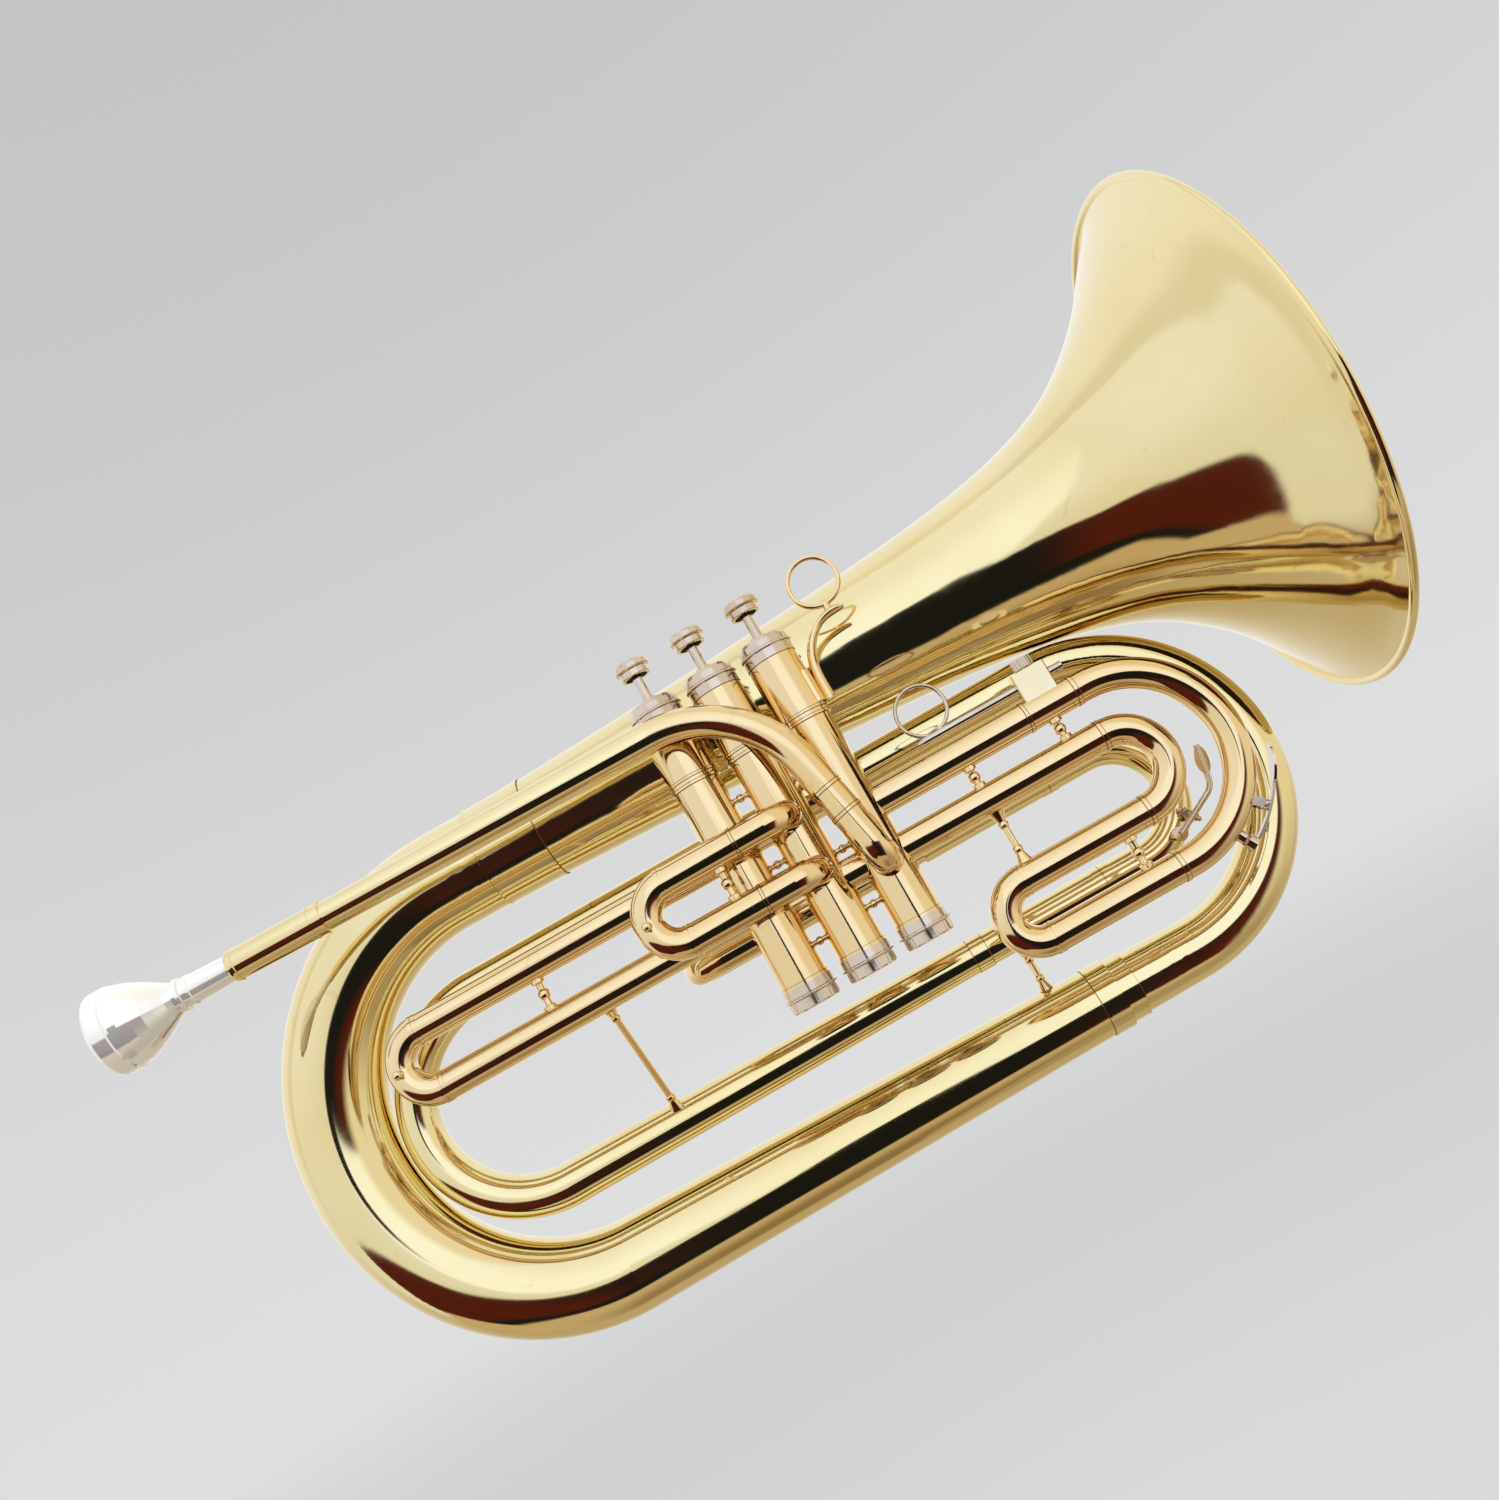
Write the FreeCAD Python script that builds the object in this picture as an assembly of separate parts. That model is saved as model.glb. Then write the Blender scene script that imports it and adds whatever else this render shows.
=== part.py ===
import FreeCAD, Part
import math
import os

V = FreeCAD.Vector

# ---------------------------------------------------------------- driving dimensions (mm)
# Frame: origin on the middle valve's axis at grip height, +X to the bell mouth, +Z to the buttons.
BACK_Y = 44.0            # plane of the bell and the large tubes
FRONT_Y = -20.0          # plane of the leadpipe and the second valve slide
BELL_Z = 55.0            # bell axis height above the origin
BELL_RIM_X = 263.0
BELL_RIM_R = 129.0
BELL_WALL = 0.8
TUBE_WALL = 0.8
BELL_PROFILE = [
    (-115.0, 23.9), (-60.0, 26.0), (0.0, 29.0), (50.0, 32.0), (88.0, 34.9), (120.0, 38.2),
    (150.0, 43.0), (175.0, 49.6), (190.0, 55.6), (203.0, 63.0), (215.0, 72.0), (226.0, 81.8),
    (238.0, 94.6), (250.0, 110.0), (258.0, 121.4),
]
RIM_BEAD_R = 2.0

BIG_BOW_X = -152.5
BIG_BOW_R = 95.2
BIG_BOW_REACH = 93.6
BIG_BOW_TOP_R = 23.6
BIG_BOW_BOTTOM_R = 20.0
BOTTOM_Z = BELL_Z - 2.0 * BIG_BOW_R
BRANCH_JOINT_X = 87.0
BRANCH_END_R = 15.4
RIGHT_BOW_X = 126.0
RIGHT_BOW_R = 70.0
RIGHT_BOW_START_R = 14.2
RIGHT_BOW_END_R = 9.8
UPPER_Z = BOTTOM_Z + 2.0 * RIGHT_BOW_R
INNER_BOW_X = -162.4
INNER_BOW_R = 48.1
INNER_BOW_REACH = 49.8
INNER_BOW_TUBE_R = 9.7
LOWER_Z = UPPER_Z - 2.0 * INNER_BOW_R

TUNING_BOW_X = 129.0
TUNING_BOW_R = 26.7
TUNING_TUBE_R = 7.7
TUNING_INNER_R = 6.9
TUNING_JOINT_X = 108.0
TUNING_TOP_Z = LOWER_Z + 2.0 * TUNING_BOW_R
TUNING_LEG_LENGTH = 42.0
SLEEVE_START_X = 44.5

VALVE_PITCH = 27.1
CASING_R = 10.7
CASING_UPPER_R = 11.2
CASING_BORE_R = 9.6
CASING_TOP_Z = 60.4
CASING_STEP_Z = 30.7
CASING_BOTTOM_Z = -65.2
PISTON_R = 9.55
PISTON_BOTTOM_Z = -48.0
PISTON_WALL = 0.8
PISTON_END_WALL = 1.2
PISTON_TOP_Z = 13.0
BARREL_TOP_Z = 52.0
BARREL_BORE_R = 8.2
STROKE = 12.2
PORT_R = 5.8
PASSAGE_R = 5.0
STEM_R = 2.4
BUTTON_Z = 83.7
GUIDE_Z = 20.0
GUIDE_THICKNESS = 2.0

SLIDE_TUBE_R = 6.75
SLIDE_SLEEVE_BORE_R = 6.30
SLIDE_INNER_R = 6.25
SLIDE_INNER_BORE_R = 5.80
SLIDE_GAP = 0.3

FIRST_TOP_Z = -2.8
FIRST_LOW_Z = -29.0
FIRST_CROOK_X = -180.2
FIRST_LEG_LENGTH = 100.0
SECOND_TOP_Z = -1.9
SECOND_LOW_Z = -28.1
SECOND_CROOK_X = -57.4
SECOND_LEG_LENGTH = 38.0
THIRD_TOP_Z = -14.5
THIRD_RETURN_Z = -36.6
THIRD_UPPER_LEG_Z = -72.6
THIRD_LOW_Z = -99.1
THIRD_OUTER_BOW_X = 135.5
THIRD_INNER_BOW_X = 132.0
THIRD_CROOK_X = 71.6
THIRD_LEG_LENGTH = 40.0
THIRD_JOINT_X = 130.4

EXIT_Z = TUNING_TOP_Z
EXIT_CROOK_X = -55.0
EXIT_Y = 20.0

LEADPIPE_Z = 54.4          # height of the leadpipe's axis where X = LEADPIPE_X
LEADPIPE_X = -75.0
LEADPIPE_DROP = math.radians(0.65)   # fall of the axis towards the valves
RECEIVER_START_X = -232.0  # these distances run along the leadpipe's own axis
RECEIVER_END_X = -187.5
RECEIVER_R = 6.9
RECEIVER_BORE_R = 5.85
RECEIVER_TAPER = 0.027
MOUTHPIECE_X = -291.5
LEADPIPE_START_R = 6.2
LEADPIPE_END_R = 7.0
LEADPIPE_BORE_R = 5.6
LEADPIPE_BEND_R = 52.0
LEADPIPE_TILT = math.radians(11.5)
LEADPIPE_ENTRY_Z = -38.2
ELBOW_R = 9.5

LINK_12_Z = -1.9
LINK_23_Z = -35.0

HOOK_BASE_X = 41.0
RING_WIRE_R = 1.1
RING_R = 11.0
ROD_Z = -2.2
ROD_R = 1.9
BLOCK_X0 = 110.5
BLOCK_X1 = 126.0

SHAPES = {}


# ---------------------------------------------------------------- general helpers
def unit(vector):
    return V(vector).normalize()


def solid_cylinder(start, direction, radius, length):
    return Part.makeCylinder(radius, length, V(*start), V(*direction))


def hollow_cylinder(start, direction, outer, inner, length):
    body = solid_cylinder(start, direction, outer, length)
    return body.cut(solid_cylinder(start, direction, inner, length))


def cone(start, direction, r0, r1, length):
    return Part.makeCone(r0, r1, length, V(*start), V(*direction))


def hollow_cone(start, direction, r0, r1, length, wall):
    body = cone(start, direction, r0, r1, length)
    return body.cut(cone(start, direction, r0 - wall, r1 - wall, length))


def corner_points(before, corner, after, radius):
    """Return the start, middle and end of the arc that rounds one corner."""
    u = unit(before - corner)
    w = unit(after - corner)
    half = math.acos(max(-1.0, min(1.0, u.dot(w)))) / 2.0
    reach = radius / math.tan(half)
    centre = corner + unit(u + w) * (radius / math.sin(half))
    middle = centre + unit(corner - centre) * radius
    return corner + u * reach, middle, corner + w * reach


def rounded_path(points, radii):
    """Build a tangent wire through points; radii holds one value per inner corner."""
    pts = [V(*p) for p in points]
    edges = []
    here = pts[0]
    for i, radius in enumerate(radii):
        start, middle, end = corner_points(pts[i], pts[i + 1], pts[i + 2], radius)
        if here.distanceToPoint(start) > 1e-6:
            edges.append(Part.makeLine(here, start))
        edges.append(Part.Arc(start, middle, end).toShape())
        here = end
    if here.distanceToPoint(pts[-1]) > 1e-6:
        edges.append(Part.makeLine(here, pts[-1]))
    return Part.Wire(edges)


def rod_along(points, radii, radius):
    """Sweep a round bar along a rounded path."""
    wire = rounded_path(points, radii)
    start = V(*points[0])
    direction = V(*points[1]) - start
    circle = Part.Wire(Part.makeCircle(radius, start, direction))
    return wire.makePipeShell([circle], True, False)


def pipe_along(points, radii, outer, inner):
    return rod_along(points, radii, outer).cut(rod_along(points, radii, inner))


def u_points(start_x, bow_x, radius, top_z, low_z, y, side):
    """Corner points of a U whose bow bulges to the given side along X."""
    far = bow_x + side * radius
    return [(start_x, y, top_z), (far, y, top_z), (far, y, low_z), (start_x, y, low_z)]


def u_pipe(start_x, bow_x, top_z, low_z, y, outer, inner, side=1.0):
    radius = abs(top_z - low_z) / 2.0
    points = u_points(start_x, bow_x, radius, top_z, low_z, y, side)
    return pipe_along(points, [radius, radius], outer, inner)


def loft_circles(stations):
    """Loft a solid through (centre, direction, radius) stations."""
    wires = [Part.Wire(Part.makeCircle(r, c, d)) for c, d, r in stations]
    return Part.makeLoft(wires, True, False)


def tapered_bow(bow_x, radius, y, centre_z, side, r_first, r_last, stub_first, stub_last, wall,
                reach=None, ease=1.0):
    """Conical U bend from the top leg to the bottom leg, with a straight stub at each end.

    The bend stands `reach` out from its legs; `ease` above one keeps the first part wide.
    """
    steps = 20
    reach = reach or radius
    arc_length = math.pi * radius
    total = stub_first + arc_length + stub_last
    stations = []

    def add(centre, direction, run):
        stations.append((centre, direction, r_first + (r_last - r_first) * (run / total) ** ease))

    if stub_first > 0.0:
        for i in range(3):
            back = stub_first * (1.0 - i / 3.0)
            add(V(bow_x - side * back, y, centre_z + radius), V(side, 0, 0), stub_first - back)
    for i in range(steps + 1):
        angle = math.pi * i / steps
        centre = V(bow_x + side * reach * math.sin(angle), y, centre_z + radius * math.cos(angle))
        direction = unit(V(side * reach * math.cos(angle), 0, -radius * math.sin(angle)))
        add(centre, direction, stub_first + arc_length * i / steps)
    if stub_last > 0.0:
        for i in range(1, 4):
            run = stub_last * i / 3.0
            centre = V(bow_x - side * run, y, centre_z - radius)
            add(centre, V(-side, 0, 0), stub_first + arc_length + run)
    outer = loft_circles(stations)
    inner = loft_circles([(c, d, r - wall) for c, d, r in stations])
    return outer.cut(inner)


def revolve_x(profile, y, z):
    """Turn a closed (x, radius) outline about an axis along X at height z."""
    points = [V(x, y, z + r) for x, r in profile]
    points.append(points[0])
    face = Part.Face(Part.makePolygon(points))
    return face.revolve(V(0, y, z), V(1, 0, 0), 360)


def revolve_z(profile, x, y):
    """Turn a closed (radius, z) outline about a vertical axis."""
    points = [V(x + r, y, z) for r, z in profile]
    points.append(points[0])
    face = Part.Face(Part.makePolygon(points))
    return face.revolve(V(x, y, 0), V(0, 0, 1), 360)


def valve_x(number):
    return (number - 2) * VALVE_PITCH


def casing_core(number):
    """Solid plug with the casing's outside size, used to trim what meets the casing."""
    height = CASING_STEP_Z - CASING_BOTTOM_Z
    return solid_cylinder((valve_x(number), 0, CASING_BOTTOM_Z), (0, 0, 1), CASING_R, height)


def joint_band(x, y, z, length=4.0, tube_r=SLIDE_TUBE_R, rise=0.3):
    """Thin reinforcing band round a tube along X."""
    return hollow_cylinder((x, y, z), (1, 0, 0), tube_r + rise, tube_r - 0.3, length)


# ---------------------------------------------------------------- bell and large tubes
def bead_point(degrees):
    """Point on the rolled rim's round section."""
    a = math.radians(degrees)
    return V(BELL_RIM_X - RIM_BEAD_R + RIM_BEAD_R * math.cos(a), BACK_Y,
             BELL_Z + BELL_RIM_R - RIM_BEAD_R + RIM_BEAD_R * math.sin(a))


def bell_spline(offset, end):
    points = [V(x, BACK_Y, BELL_Z + r - offset) for x, r in BELL_PROFILE]
    curve = Part.BSplineCurve()
    curve.interpolate(points + [end])
    return curve.toShape()


def make_bell():
    """Thin flared wall that runs into a rolled rim, turned from one outline."""
    outer = bell_spline(0.0, bead_point(240.0))
    inner = bell_spline(BELL_WALL, bead_point(285.0))
    tail = Part.makeLine(inner.Vertexes[0].Point, outer.Vertexes[0].Point)
    bead = Part.Arc(bead_point(240.0), bead_point(90.0), bead_point(285.0)).toShape()
    wire = Part.Wire(Part.__sortEdges__([outer, bead, inner, tail]))
    return Part.Face(wire).revolve(V(0, BACK_Y, BELL_Z), V(1, 0, 0), 360)


def make_big_bow():
    stub = BELL_PROFILE[0][0] - BIG_BOW_X
    return tapered_bow(BIG_BOW_X, BIG_BOW_R, BACK_Y, BELL_Z - BIG_BOW_R, -1.0,
                       BIG_BOW_TOP_R + 0.3, BIG_BOW_BOTTOM_R, stub, 0.0, TUBE_WALL,
                       reach=BIG_BOW_REACH, ease=3.0)


def make_bottom_branch():
    length = BRANCH_JOINT_X - BIG_BOW_X
    return hollow_cone((BIG_BOW_X, BACK_Y, BOTTOM_Z), (1, 0, 0),
                       BIG_BOW_BOTTOM_R, BRANCH_END_R, length, TUBE_WALL)


def make_right_bow():
    stub = RIGHT_BOW_X - BRANCH_JOINT_X
    return tapered_bow(RIGHT_BOW_X, RIGHT_BOW_R, BACK_Y, BOTTOM_Z + RIGHT_BOW_R, 1.0,
                       RIGHT_BOW_END_R, RIGHT_BOW_START_R, 0.0, stub, TUBE_WALL)


def make_upper_back_tube():
    length = RIGHT_BOW_X - INNER_BOW_X
    return hollow_cone((INNER_BOW_X, BACK_Y, UPPER_Z), (1, 0, 0),
                       INNER_BOW_TUBE_R, RIGHT_BOW_END_R, length, TUBE_WALL)


def make_inner_bow():
    return tapered_bow(INNER_BOW_X, INNER_BOW_R, BACK_Y, UPPER_Z - INNER_BOW_R, -1.0,
                       INNER_BOW_TUBE_R, INNER_BOW_TUBE_R, 0.0, 0.0, TUBE_WALL,
                       reach=INNER_BOW_REACH)


def make_lower_back_tube():
    length = SLEEVE_START_X - INNER_BOW_X
    return hollow_cone((INNER_BOW_X, BACK_Y, LOWER_Z), (1, 0, 0),
                       INNER_BOW_TUBE_R, TUNING_TUBE_R, length, TUBE_WALL)


def make_ferrules():
    """Three soldered joint sleeves: bell tail, bottom branch and lower rear tube."""
    bell_x0 = -129.0
    bell_joint = hollow_cone((bell_x0, BACK_Y, BELL_Z), (1, 0, 0), 24.30, 24.90, 29.0, 0.35)
    for x, inner in ((bell_x0, 24.0), (bell_x0 + 27.8, 24.55)):
        bell_joint = bell_joint.fuse(
            hollow_cylinder((x, BACK_Y, BELL_Z), (1, 0, 0), inner + 0.65, inner, 1.2))
    x0, joint, x1 = BRANCH_JOINT_X - 9.0, BRANCH_JOINT_X + 0.2, BRANCH_JOINT_X + 9.0
    wide = branch_radius(x0) + 0.05
    narrow = RIGHT_BOW_START_R + 0.25
    branch = solid_cylinder((x0, BACK_Y, BOTTOM_Z), (1, 0, 0), wide + 0.4, 10.0).multiFuse([
        solid_cylinder((x0, BACK_Y, BOTTOM_Z), (1, 0, 0), wide + 0.65, 1.0),
        solid_cylinder((joint, BACK_Y, BOTTOM_Z), (1, 0, 0), narrow + 0.4, x1 - joint),
        solid_cylinder((x1 - 1.0, BACK_Y, BOTTOM_Z), (1, 0, 0), narrow + 0.65, 1.0)])
    branch = branch.cut([
        cone((x0, BACK_Y, BOTTOM_Z), (1, 0, 0), wide, branch_radius(joint) + 0.05, joint - x0),
        solid_cylinder((joint - 0.1, BACK_Y, BOTTOM_Z), (1, 0, 0), narrow, x1 - joint + 0.2)])
    lower = hollow_cylinder((SLEEVE_START_X - 3.5, BACK_Y, LOWER_Z), (1, 0, 0), 8.15, 7.75, 7.0)
    return Part.makeCompound([bell_joint, branch, lower])


def make_tuning_sleeves():
    bore = TUNING_INNER_R + 0.05
    top = hollow_cylinder((SLEEVE_START_X, BACK_Y, TUNING_TOP_Z), (1, 0, 0),
                          TUNING_TUBE_R, bore, TUNING_JOINT_X - SLEEVE_START_X)
    low = hollow_cylinder((SLEEVE_START_X, BACK_Y, LOWER_Z), (1, 0, 0),
                          TUNING_TUBE_R, bore, TUNING_JOINT_X - SLEEVE_START_X)
    x = TUNING_JOINT_X - 4.0
    bands = [joint_band(x, BACK_Y, z, 4.0, TUNING_TUBE_R) for z in (TUNING_TOP_Z, LOWER_Z)]
    return Part.makeCompound([top.fuse(bands[0]), low.fuse(bands[1])])


def make_tuning_slide():
    start = TUNING_JOINT_X + SLIDE_GAP
    radius = TUNING_BOW_R
    bow = rod_along(u_points(start, TUNING_BOW_X, radius, TUNING_TOP_Z, LOWER_Z, BACK_Y, 1.0),
                    [radius, radius], TUNING_TUBE_R)
    extra = []
    for z in (TUNING_TOP_Z, LOWER_Z):
        extra.append(solid_cylinder((start - TUNING_LEG_LENGTH, BACK_Y, z), (1, 0, 0),
                                    TUNING_INNER_R, TUNING_LEG_LENGTH))
        extra.append(solid_cylinder((start, BACK_Y, z), (1, 0, 0), TUNING_TUBE_R + 0.3, 4.0))
    bore_points = u_points(start - TUNING_LEG_LENGTH, TUNING_BOW_X, radius, TUNING_TOP_Z, LOWER_Z,
                           BACK_Y, 1.0)
    bore = rod_along(bore_points, [radius, radius], TUNING_INNER_R - 0.5)
    return bow.multiFuse(extra).cut(bore)


# ---------------------------------------------------------------- leadpipe and mouthpiece
def on_leadpipe_axis(shape):
    """Turn a shape built level along X into the leadpipe's slight fall."""
    moved = shape.copy()
    moved.rotate(V(LEADPIPE_X, FRONT_Y, LEADPIPE_Z), V(0, 1, 0), math.degrees(LEADPIPE_DROP))
    return moved


def make_receiver():
    """Turned sleeve with a rounded mouth, a tapered socket and two fine rings at its joint."""
    x0 = RECEIVER_START_X
    x1 = RECEIVER_END_X
    r = RECEIVER_R
    outline = [(x0, 0.0), (x0, r - 0.9), (x0 + 0.35, r - 0.35), (x0 + 1.0, r), (x0 + 2.2, r + 0.25),
               (x0 + 3.4, r + 0.25), (x0 + 3.8, r), (x1 - 6.0, r), (x1 - 6.0, r + 0.3),
               (x1 - 5.0, r + 0.3), (x1 - 5.0, r), (x1 - 1.2, r), (x1 - 1.2, r + 0.3),
               (x1, r + 0.3), (x1, 0.0)]
    body = revolve_x(outline, FRONT_Y, LEADPIPE_Z)
    depth = 26.0
    socket = cone((x0, FRONT_Y, LEADPIPE_Z), (1, 0, 0), RECEIVER_BORE_R,
                  RECEIVER_BORE_R - RECEIVER_TAPER * depth, depth)
    throat = solid_cylinder((x0 + depth, FRONT_Y, LEADPIPE_Z), (1, 0, 0), 4.6, 60.0)
    return on_leadpipe_axis(body.cut(socket.fuse(throat)))


def shank_radius(x):
    """Outside of the mouthpiece's shank, a hair smaller than the socket round it."""
    return RECEIVER_BORE_R - RECEIVER_TAPER * (x - RECEIVER_START_X) - 0.03


def make_mouthpiece():
    """Cup, backbore and shank turned as one piece; the shank enters the receiver."""
    x0 = MOUTHPIECE_X
    tip = RECEIVER_START_X + 22.5
    outline = [
        (x0 + 0.0, 15.2), (x0 + 0.5, 16.9), (x0 + 1.4, 18.1), (x0 + 2.6, 18.75), (x0 + 9.0, 18.75),
        (x0 + 9.5, 18.1), (x0 + 10.6, 18.0), (x0 + 14.0, 17.2), (x0 + 18.5, 15.4), (x0 + 23.0, 13.2),
        (x0 + 27.5, 10.6), (x0 + 31.5, 8.2), (x0 + 34.0, 6.9), (x0 + 35.6, 6.5),
        (x0 + 35.9, 7.4), (x0 + 37.5, 7.4), (x0 + 37.9, 6.2), (x0 + 40.2, 6.0),
        (x0 + 40.5, 6.7), (x0 + 41.8, 6.7), (x0 + 42.2, shank_radius(x0 + 42.2)),
        (tip, shank_radius(tip)), (tip, 4.3), (x0 + 62.0, 3.7),
        (x0 + 36.0, 3.3), (x0 + 30.0, 4.6), (x0 + 24.0, 8.4), (x0 + 16.0, 11.4),
        (x0 + 8.0, 12.5), (x0 + 2.2, 12.9), (x0 + 0.5, 13.7),
    ]
    return on_leadpipe_axis(revolve_x(outline, FRONT_Y, LEADPIPE_Z))


def leadpipe_points():
    """Bend start, meeting point of the two straight runs, and elbow start, as (x, z)."""
    run = (math.cos(LEADPIPE_DROP), -math.sin(LEADPIPE_DROP))
    down = (math.sin(LEADPIPE_TILT), -math.cos(LEADPIPE_TILT))
    elbow = (valve_x(3) - ELBOW_R * down[0], LEADPIPE_ENTRY_Z - ELBOW_R * down[1])
    across = run[0] * down[1] - run[1] * down[0]
    gap = (elbow[0] - LEADPIPE_X, elbow[1] - LEADPIPE_Z)
    along = (gap[0] * down[1] - gap[1] * down[0]) / across
    corner = (LEADPIPE_X + run[0] * along, LEADPIPE_Z + run[1] * along)
    turn = math.pi / 2.0 - LEADPIPE_TILT - LEADPIPE_DROP
    reach = LEADPIPE_BEND_R * math.tan(turn / 2.0)
    return (corner[0] - run[0] * reach, corner[1] - run[1] * reach), corner, elbow


def make_leadpipe():
    bend_start = leadpipe_points()[0]
    length = (bend_start[0] - LEADPIPE_X) / math.cos(LEADPIPE_DROP) + LEADPIPE_X - RECEIVER_END_X
    start = (RECEIVER_END_X, FRONT_Y, LEADPIPE_Z)
    body = cone(start, (1, 0, 0), LEADPIPE_START_R, LEADPIPE_END_R, length)
    return on_leadpipe_axis(body.cut(solid_cylinder(start, (1, 0, 0), LEADPIPE_BORE_R, length)))


def make_leadpipe_bend():
    bend_start, corner, elbow = leadpipe_points()
    points = [(x, FRONT_Y, z) for x, z in (bend_start, corner, elbow)]
    wall = rod_along(points, [LEADPIPE_BEND_R], LEADPIPE_END_R)
    bore = rod_along(points, [LEADPIPE_BEND_R], LEADPIPE_BORE_R)
    heading = unit(V(math.sin(LEADPIPE_TILT), 0, -math.cos(LEADPIPE_TILT)))
    end = V(elbow[0], FRONT_Y, elbow[1])
    bands = []
    for back in (16.5, 29.0):
        start = end - heading * back
        bands.append(Part.makeCylinder(LEADPIPE_END_R + 0.25, 1.2, start, heading))
    return wall.multiFuse(bands).cut(bore)


def make_leadpipe_elbow():
    _, _, elbow = leadpipe_points()
    corner = (elbow[0] + ELBOW_R * math.sin(LEADPIPE_TILT), FRONT_Y,
              elbow[1] - ELBOW_R * math.cos(LEADPIPE_TILT))
    points = [(elbow[0], FRONT_Y, elbow[1]), corner, (corner[0], 0.0, corner[2])]
    body = pipe_along(points, [ELBOW_R - 0.001], SLIDE_TUBE_R, PORT_R)
    return body.cut(casing_core(3))


# ---------------------------------------------------------------- valves
def port(number, angle, z):
    """Bore from a valve's axis outwards at an angle in the XY plane."""
    direction = (math.cos(math.radians(angle)), math.sin(math.radians(angle)), 0)
    return solid_cylinder((valve_x(number), 0, z), direction, PORT_R, CASING_UPPER_R + 1.0)


def valve_ports():
    """Angle and height of every port of each valve: entry, exit, loop out, loop back."""
    return {
        3: [(-90, LEADPIPE_ENTRY_Z), (180, LINK_23_Z), (0, THIRD_RETURN_Z), (0, THIRD_TOP_Z)],
        2: [(0, LINK_23_Z), (180, LINK_12_Z), (-90, SECOND_LOW_Z), (-90, SECOND_TOP_Z)],
        1: [(0, LINK_12_Z), (90, EXIT_Z), (180, FIRST_TOP_Z), (180, FIRST_LOW_Z)],
    }


def make_casing(number):
    x = valve_x(number)
    lower = solid_cylinder((x, 0, CASING_BOTTOM_Z), (0, 0, 1), CASING_R,
                           CASING_STEP_Z - CASING_BOTTOM_Z)
    upper = solid_cylinder((x, 0, CASING_STEP_Z), (0, 0, 1), CASING_UPPER_R,
                           CASING_TOP_Z - CASING_STEP_Z)
    bands = [solid_cylinder((x, 0, CASING_STEP_Z - 1.2), (0, 0, 1), CASING_UPPER_R + 0.35, 1.0),
             solid_cylinder((x, 0, CASING_STEP_Z + 1.8), (0, 0, 1), CASING_UPPER_R + 0.35, 0.9),
             solid_cylinder((x, 0, CASING_BOTTOM_Z), (0, 0, 1), CASING_R + 0.35, 1.2)]
    cuts = [solid_cylinder((x, 0, CASING_BOTTOM_Z), (0, 0, 1), CASING_BORE_R,
                           CASING_TOP_Z - CASING_BOTTOM_Z)]
    cuts += [port(number, angle, z) for angle, z in valve_ports()[number]]
    return lower.fuse(upper).multiFuse(bands).cut(cuts)


def port_point(number, angle, z, reach):
    a = math.radians(angle)
    return V(valve_x(number) + reach * math.cos(a), reach * math.sin(a), z)


def passage(number, first, second, lift, radius):
    """Straight air passage through a piston between two of its ports."""
    start = port_point(number, first[0], first[1] + lift, PISTON_R + 1.0)
    end = port_point(number, second[0], second[1] + lift, PISTON_R + 1.0)
    return Part.makeCylinder(radius, start.distanceToPoint(end), start, end - start)


def make_piston(number):
    """Hollow piston with three air tubes, and the slotted spring barrel above it."""
    x = valve_x(number)
    height = BARREL_TOP_Z - PISTON_BOTTOM_Z
    core = solid_cylinder((x, 0, PISTON_BOTTOM_Z), (0, 0, 1), PISTON_R, height)
    cavity = solid_cylinder((x, 0, PISTON_BOTTOM_Z + PISTON_END_WALL), (0, 0, 1),
                            PISTON_R - PISTON_WALL, PISTON_TOP_Z - PISTON_BOTTOM_Z - 2.0 * PISTON_END_WALL)
    barrel = solid_cylinder((x, 0, PISTON_TOP_Z), (0, 0, 1), BARREL_BORE_R,
                            BARREL_TOP_Z - 2.0 - PISTON_TOP_Z)
    slot_height = GUIDE_THICKNESS + STROKE + 2.0 * SLIDE_GAP
    slot = Part.makeBox(24.0, 3.8, slot_height, V(x - 12.0, -1.9, GUIDE_Z - SLIDE_GAP))
    entry, leave, loop_a, loop_b = valve_ports()[number]
    routes = [(entry, leave, 0.0), (entry, loop_a, STROKE), (loop_b, leave, STROKE)]
    walls = [passage(number, a, b, lift, PASSAGE_R + 0.6) for a, b, lift in routes]
    bores = [passage(number, a, b, lift, PASSAGE_R) for a, b, lift in routes]
    shell = core.cut([cavity, barrel])
    return shell.fuse([w.common(core) for w in walls]).cut([slot] + bores)


def make_stem(number):
    """Stem and finger button, screwed to the piston's top disc."""
    x = valve_x(number)
    stem = solid_cylinder((x, 0, BARREL_TOP_Z), (0, 0, 1), STEM_R, BUTTON_Z + 4.0 - BARREL_TOP_Z)
    top = BUTTON_Z + 6.8
    button = revolve_z([(0.0, BUTTON_Z + 3.6), (5.2, BUTTON_Z + 3.6), (5.2, BUTTON_Z),
                        (6.5, BUTTON_Z), (6.8, BUTTON_Z + 0.4), (6.8, BUTTON_Z + 2.9),
                        (7.7, BUTTON_Z + 3.2), (8.2, BUTTON_Z + 3.8), (8.2, BUTTON_Z + 5.8),
                        (7.6, top), (6.6, top), (5.6, top - 0.5), (0.0, top - 0.9)], x, 0)
    return stem.fuse(button)


def make_felts(number):
    """Upper felt inside the button and lower felt on the piston's top disc."""
    x = valve_x(number)
    upper = hollow_cylinder((x, 0, BUTTON_Z + 1.9), (0, 0, 1), 4.7, STEM_R + 0.05, 1.7)
    lower = hollow_cylinder((x, 0, BARREL_TOP_Z), (0, 0, 1), 7.0, STEM_R + 0.05, 2.4)
    return Part.makeCompound([upper, lower])


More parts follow.
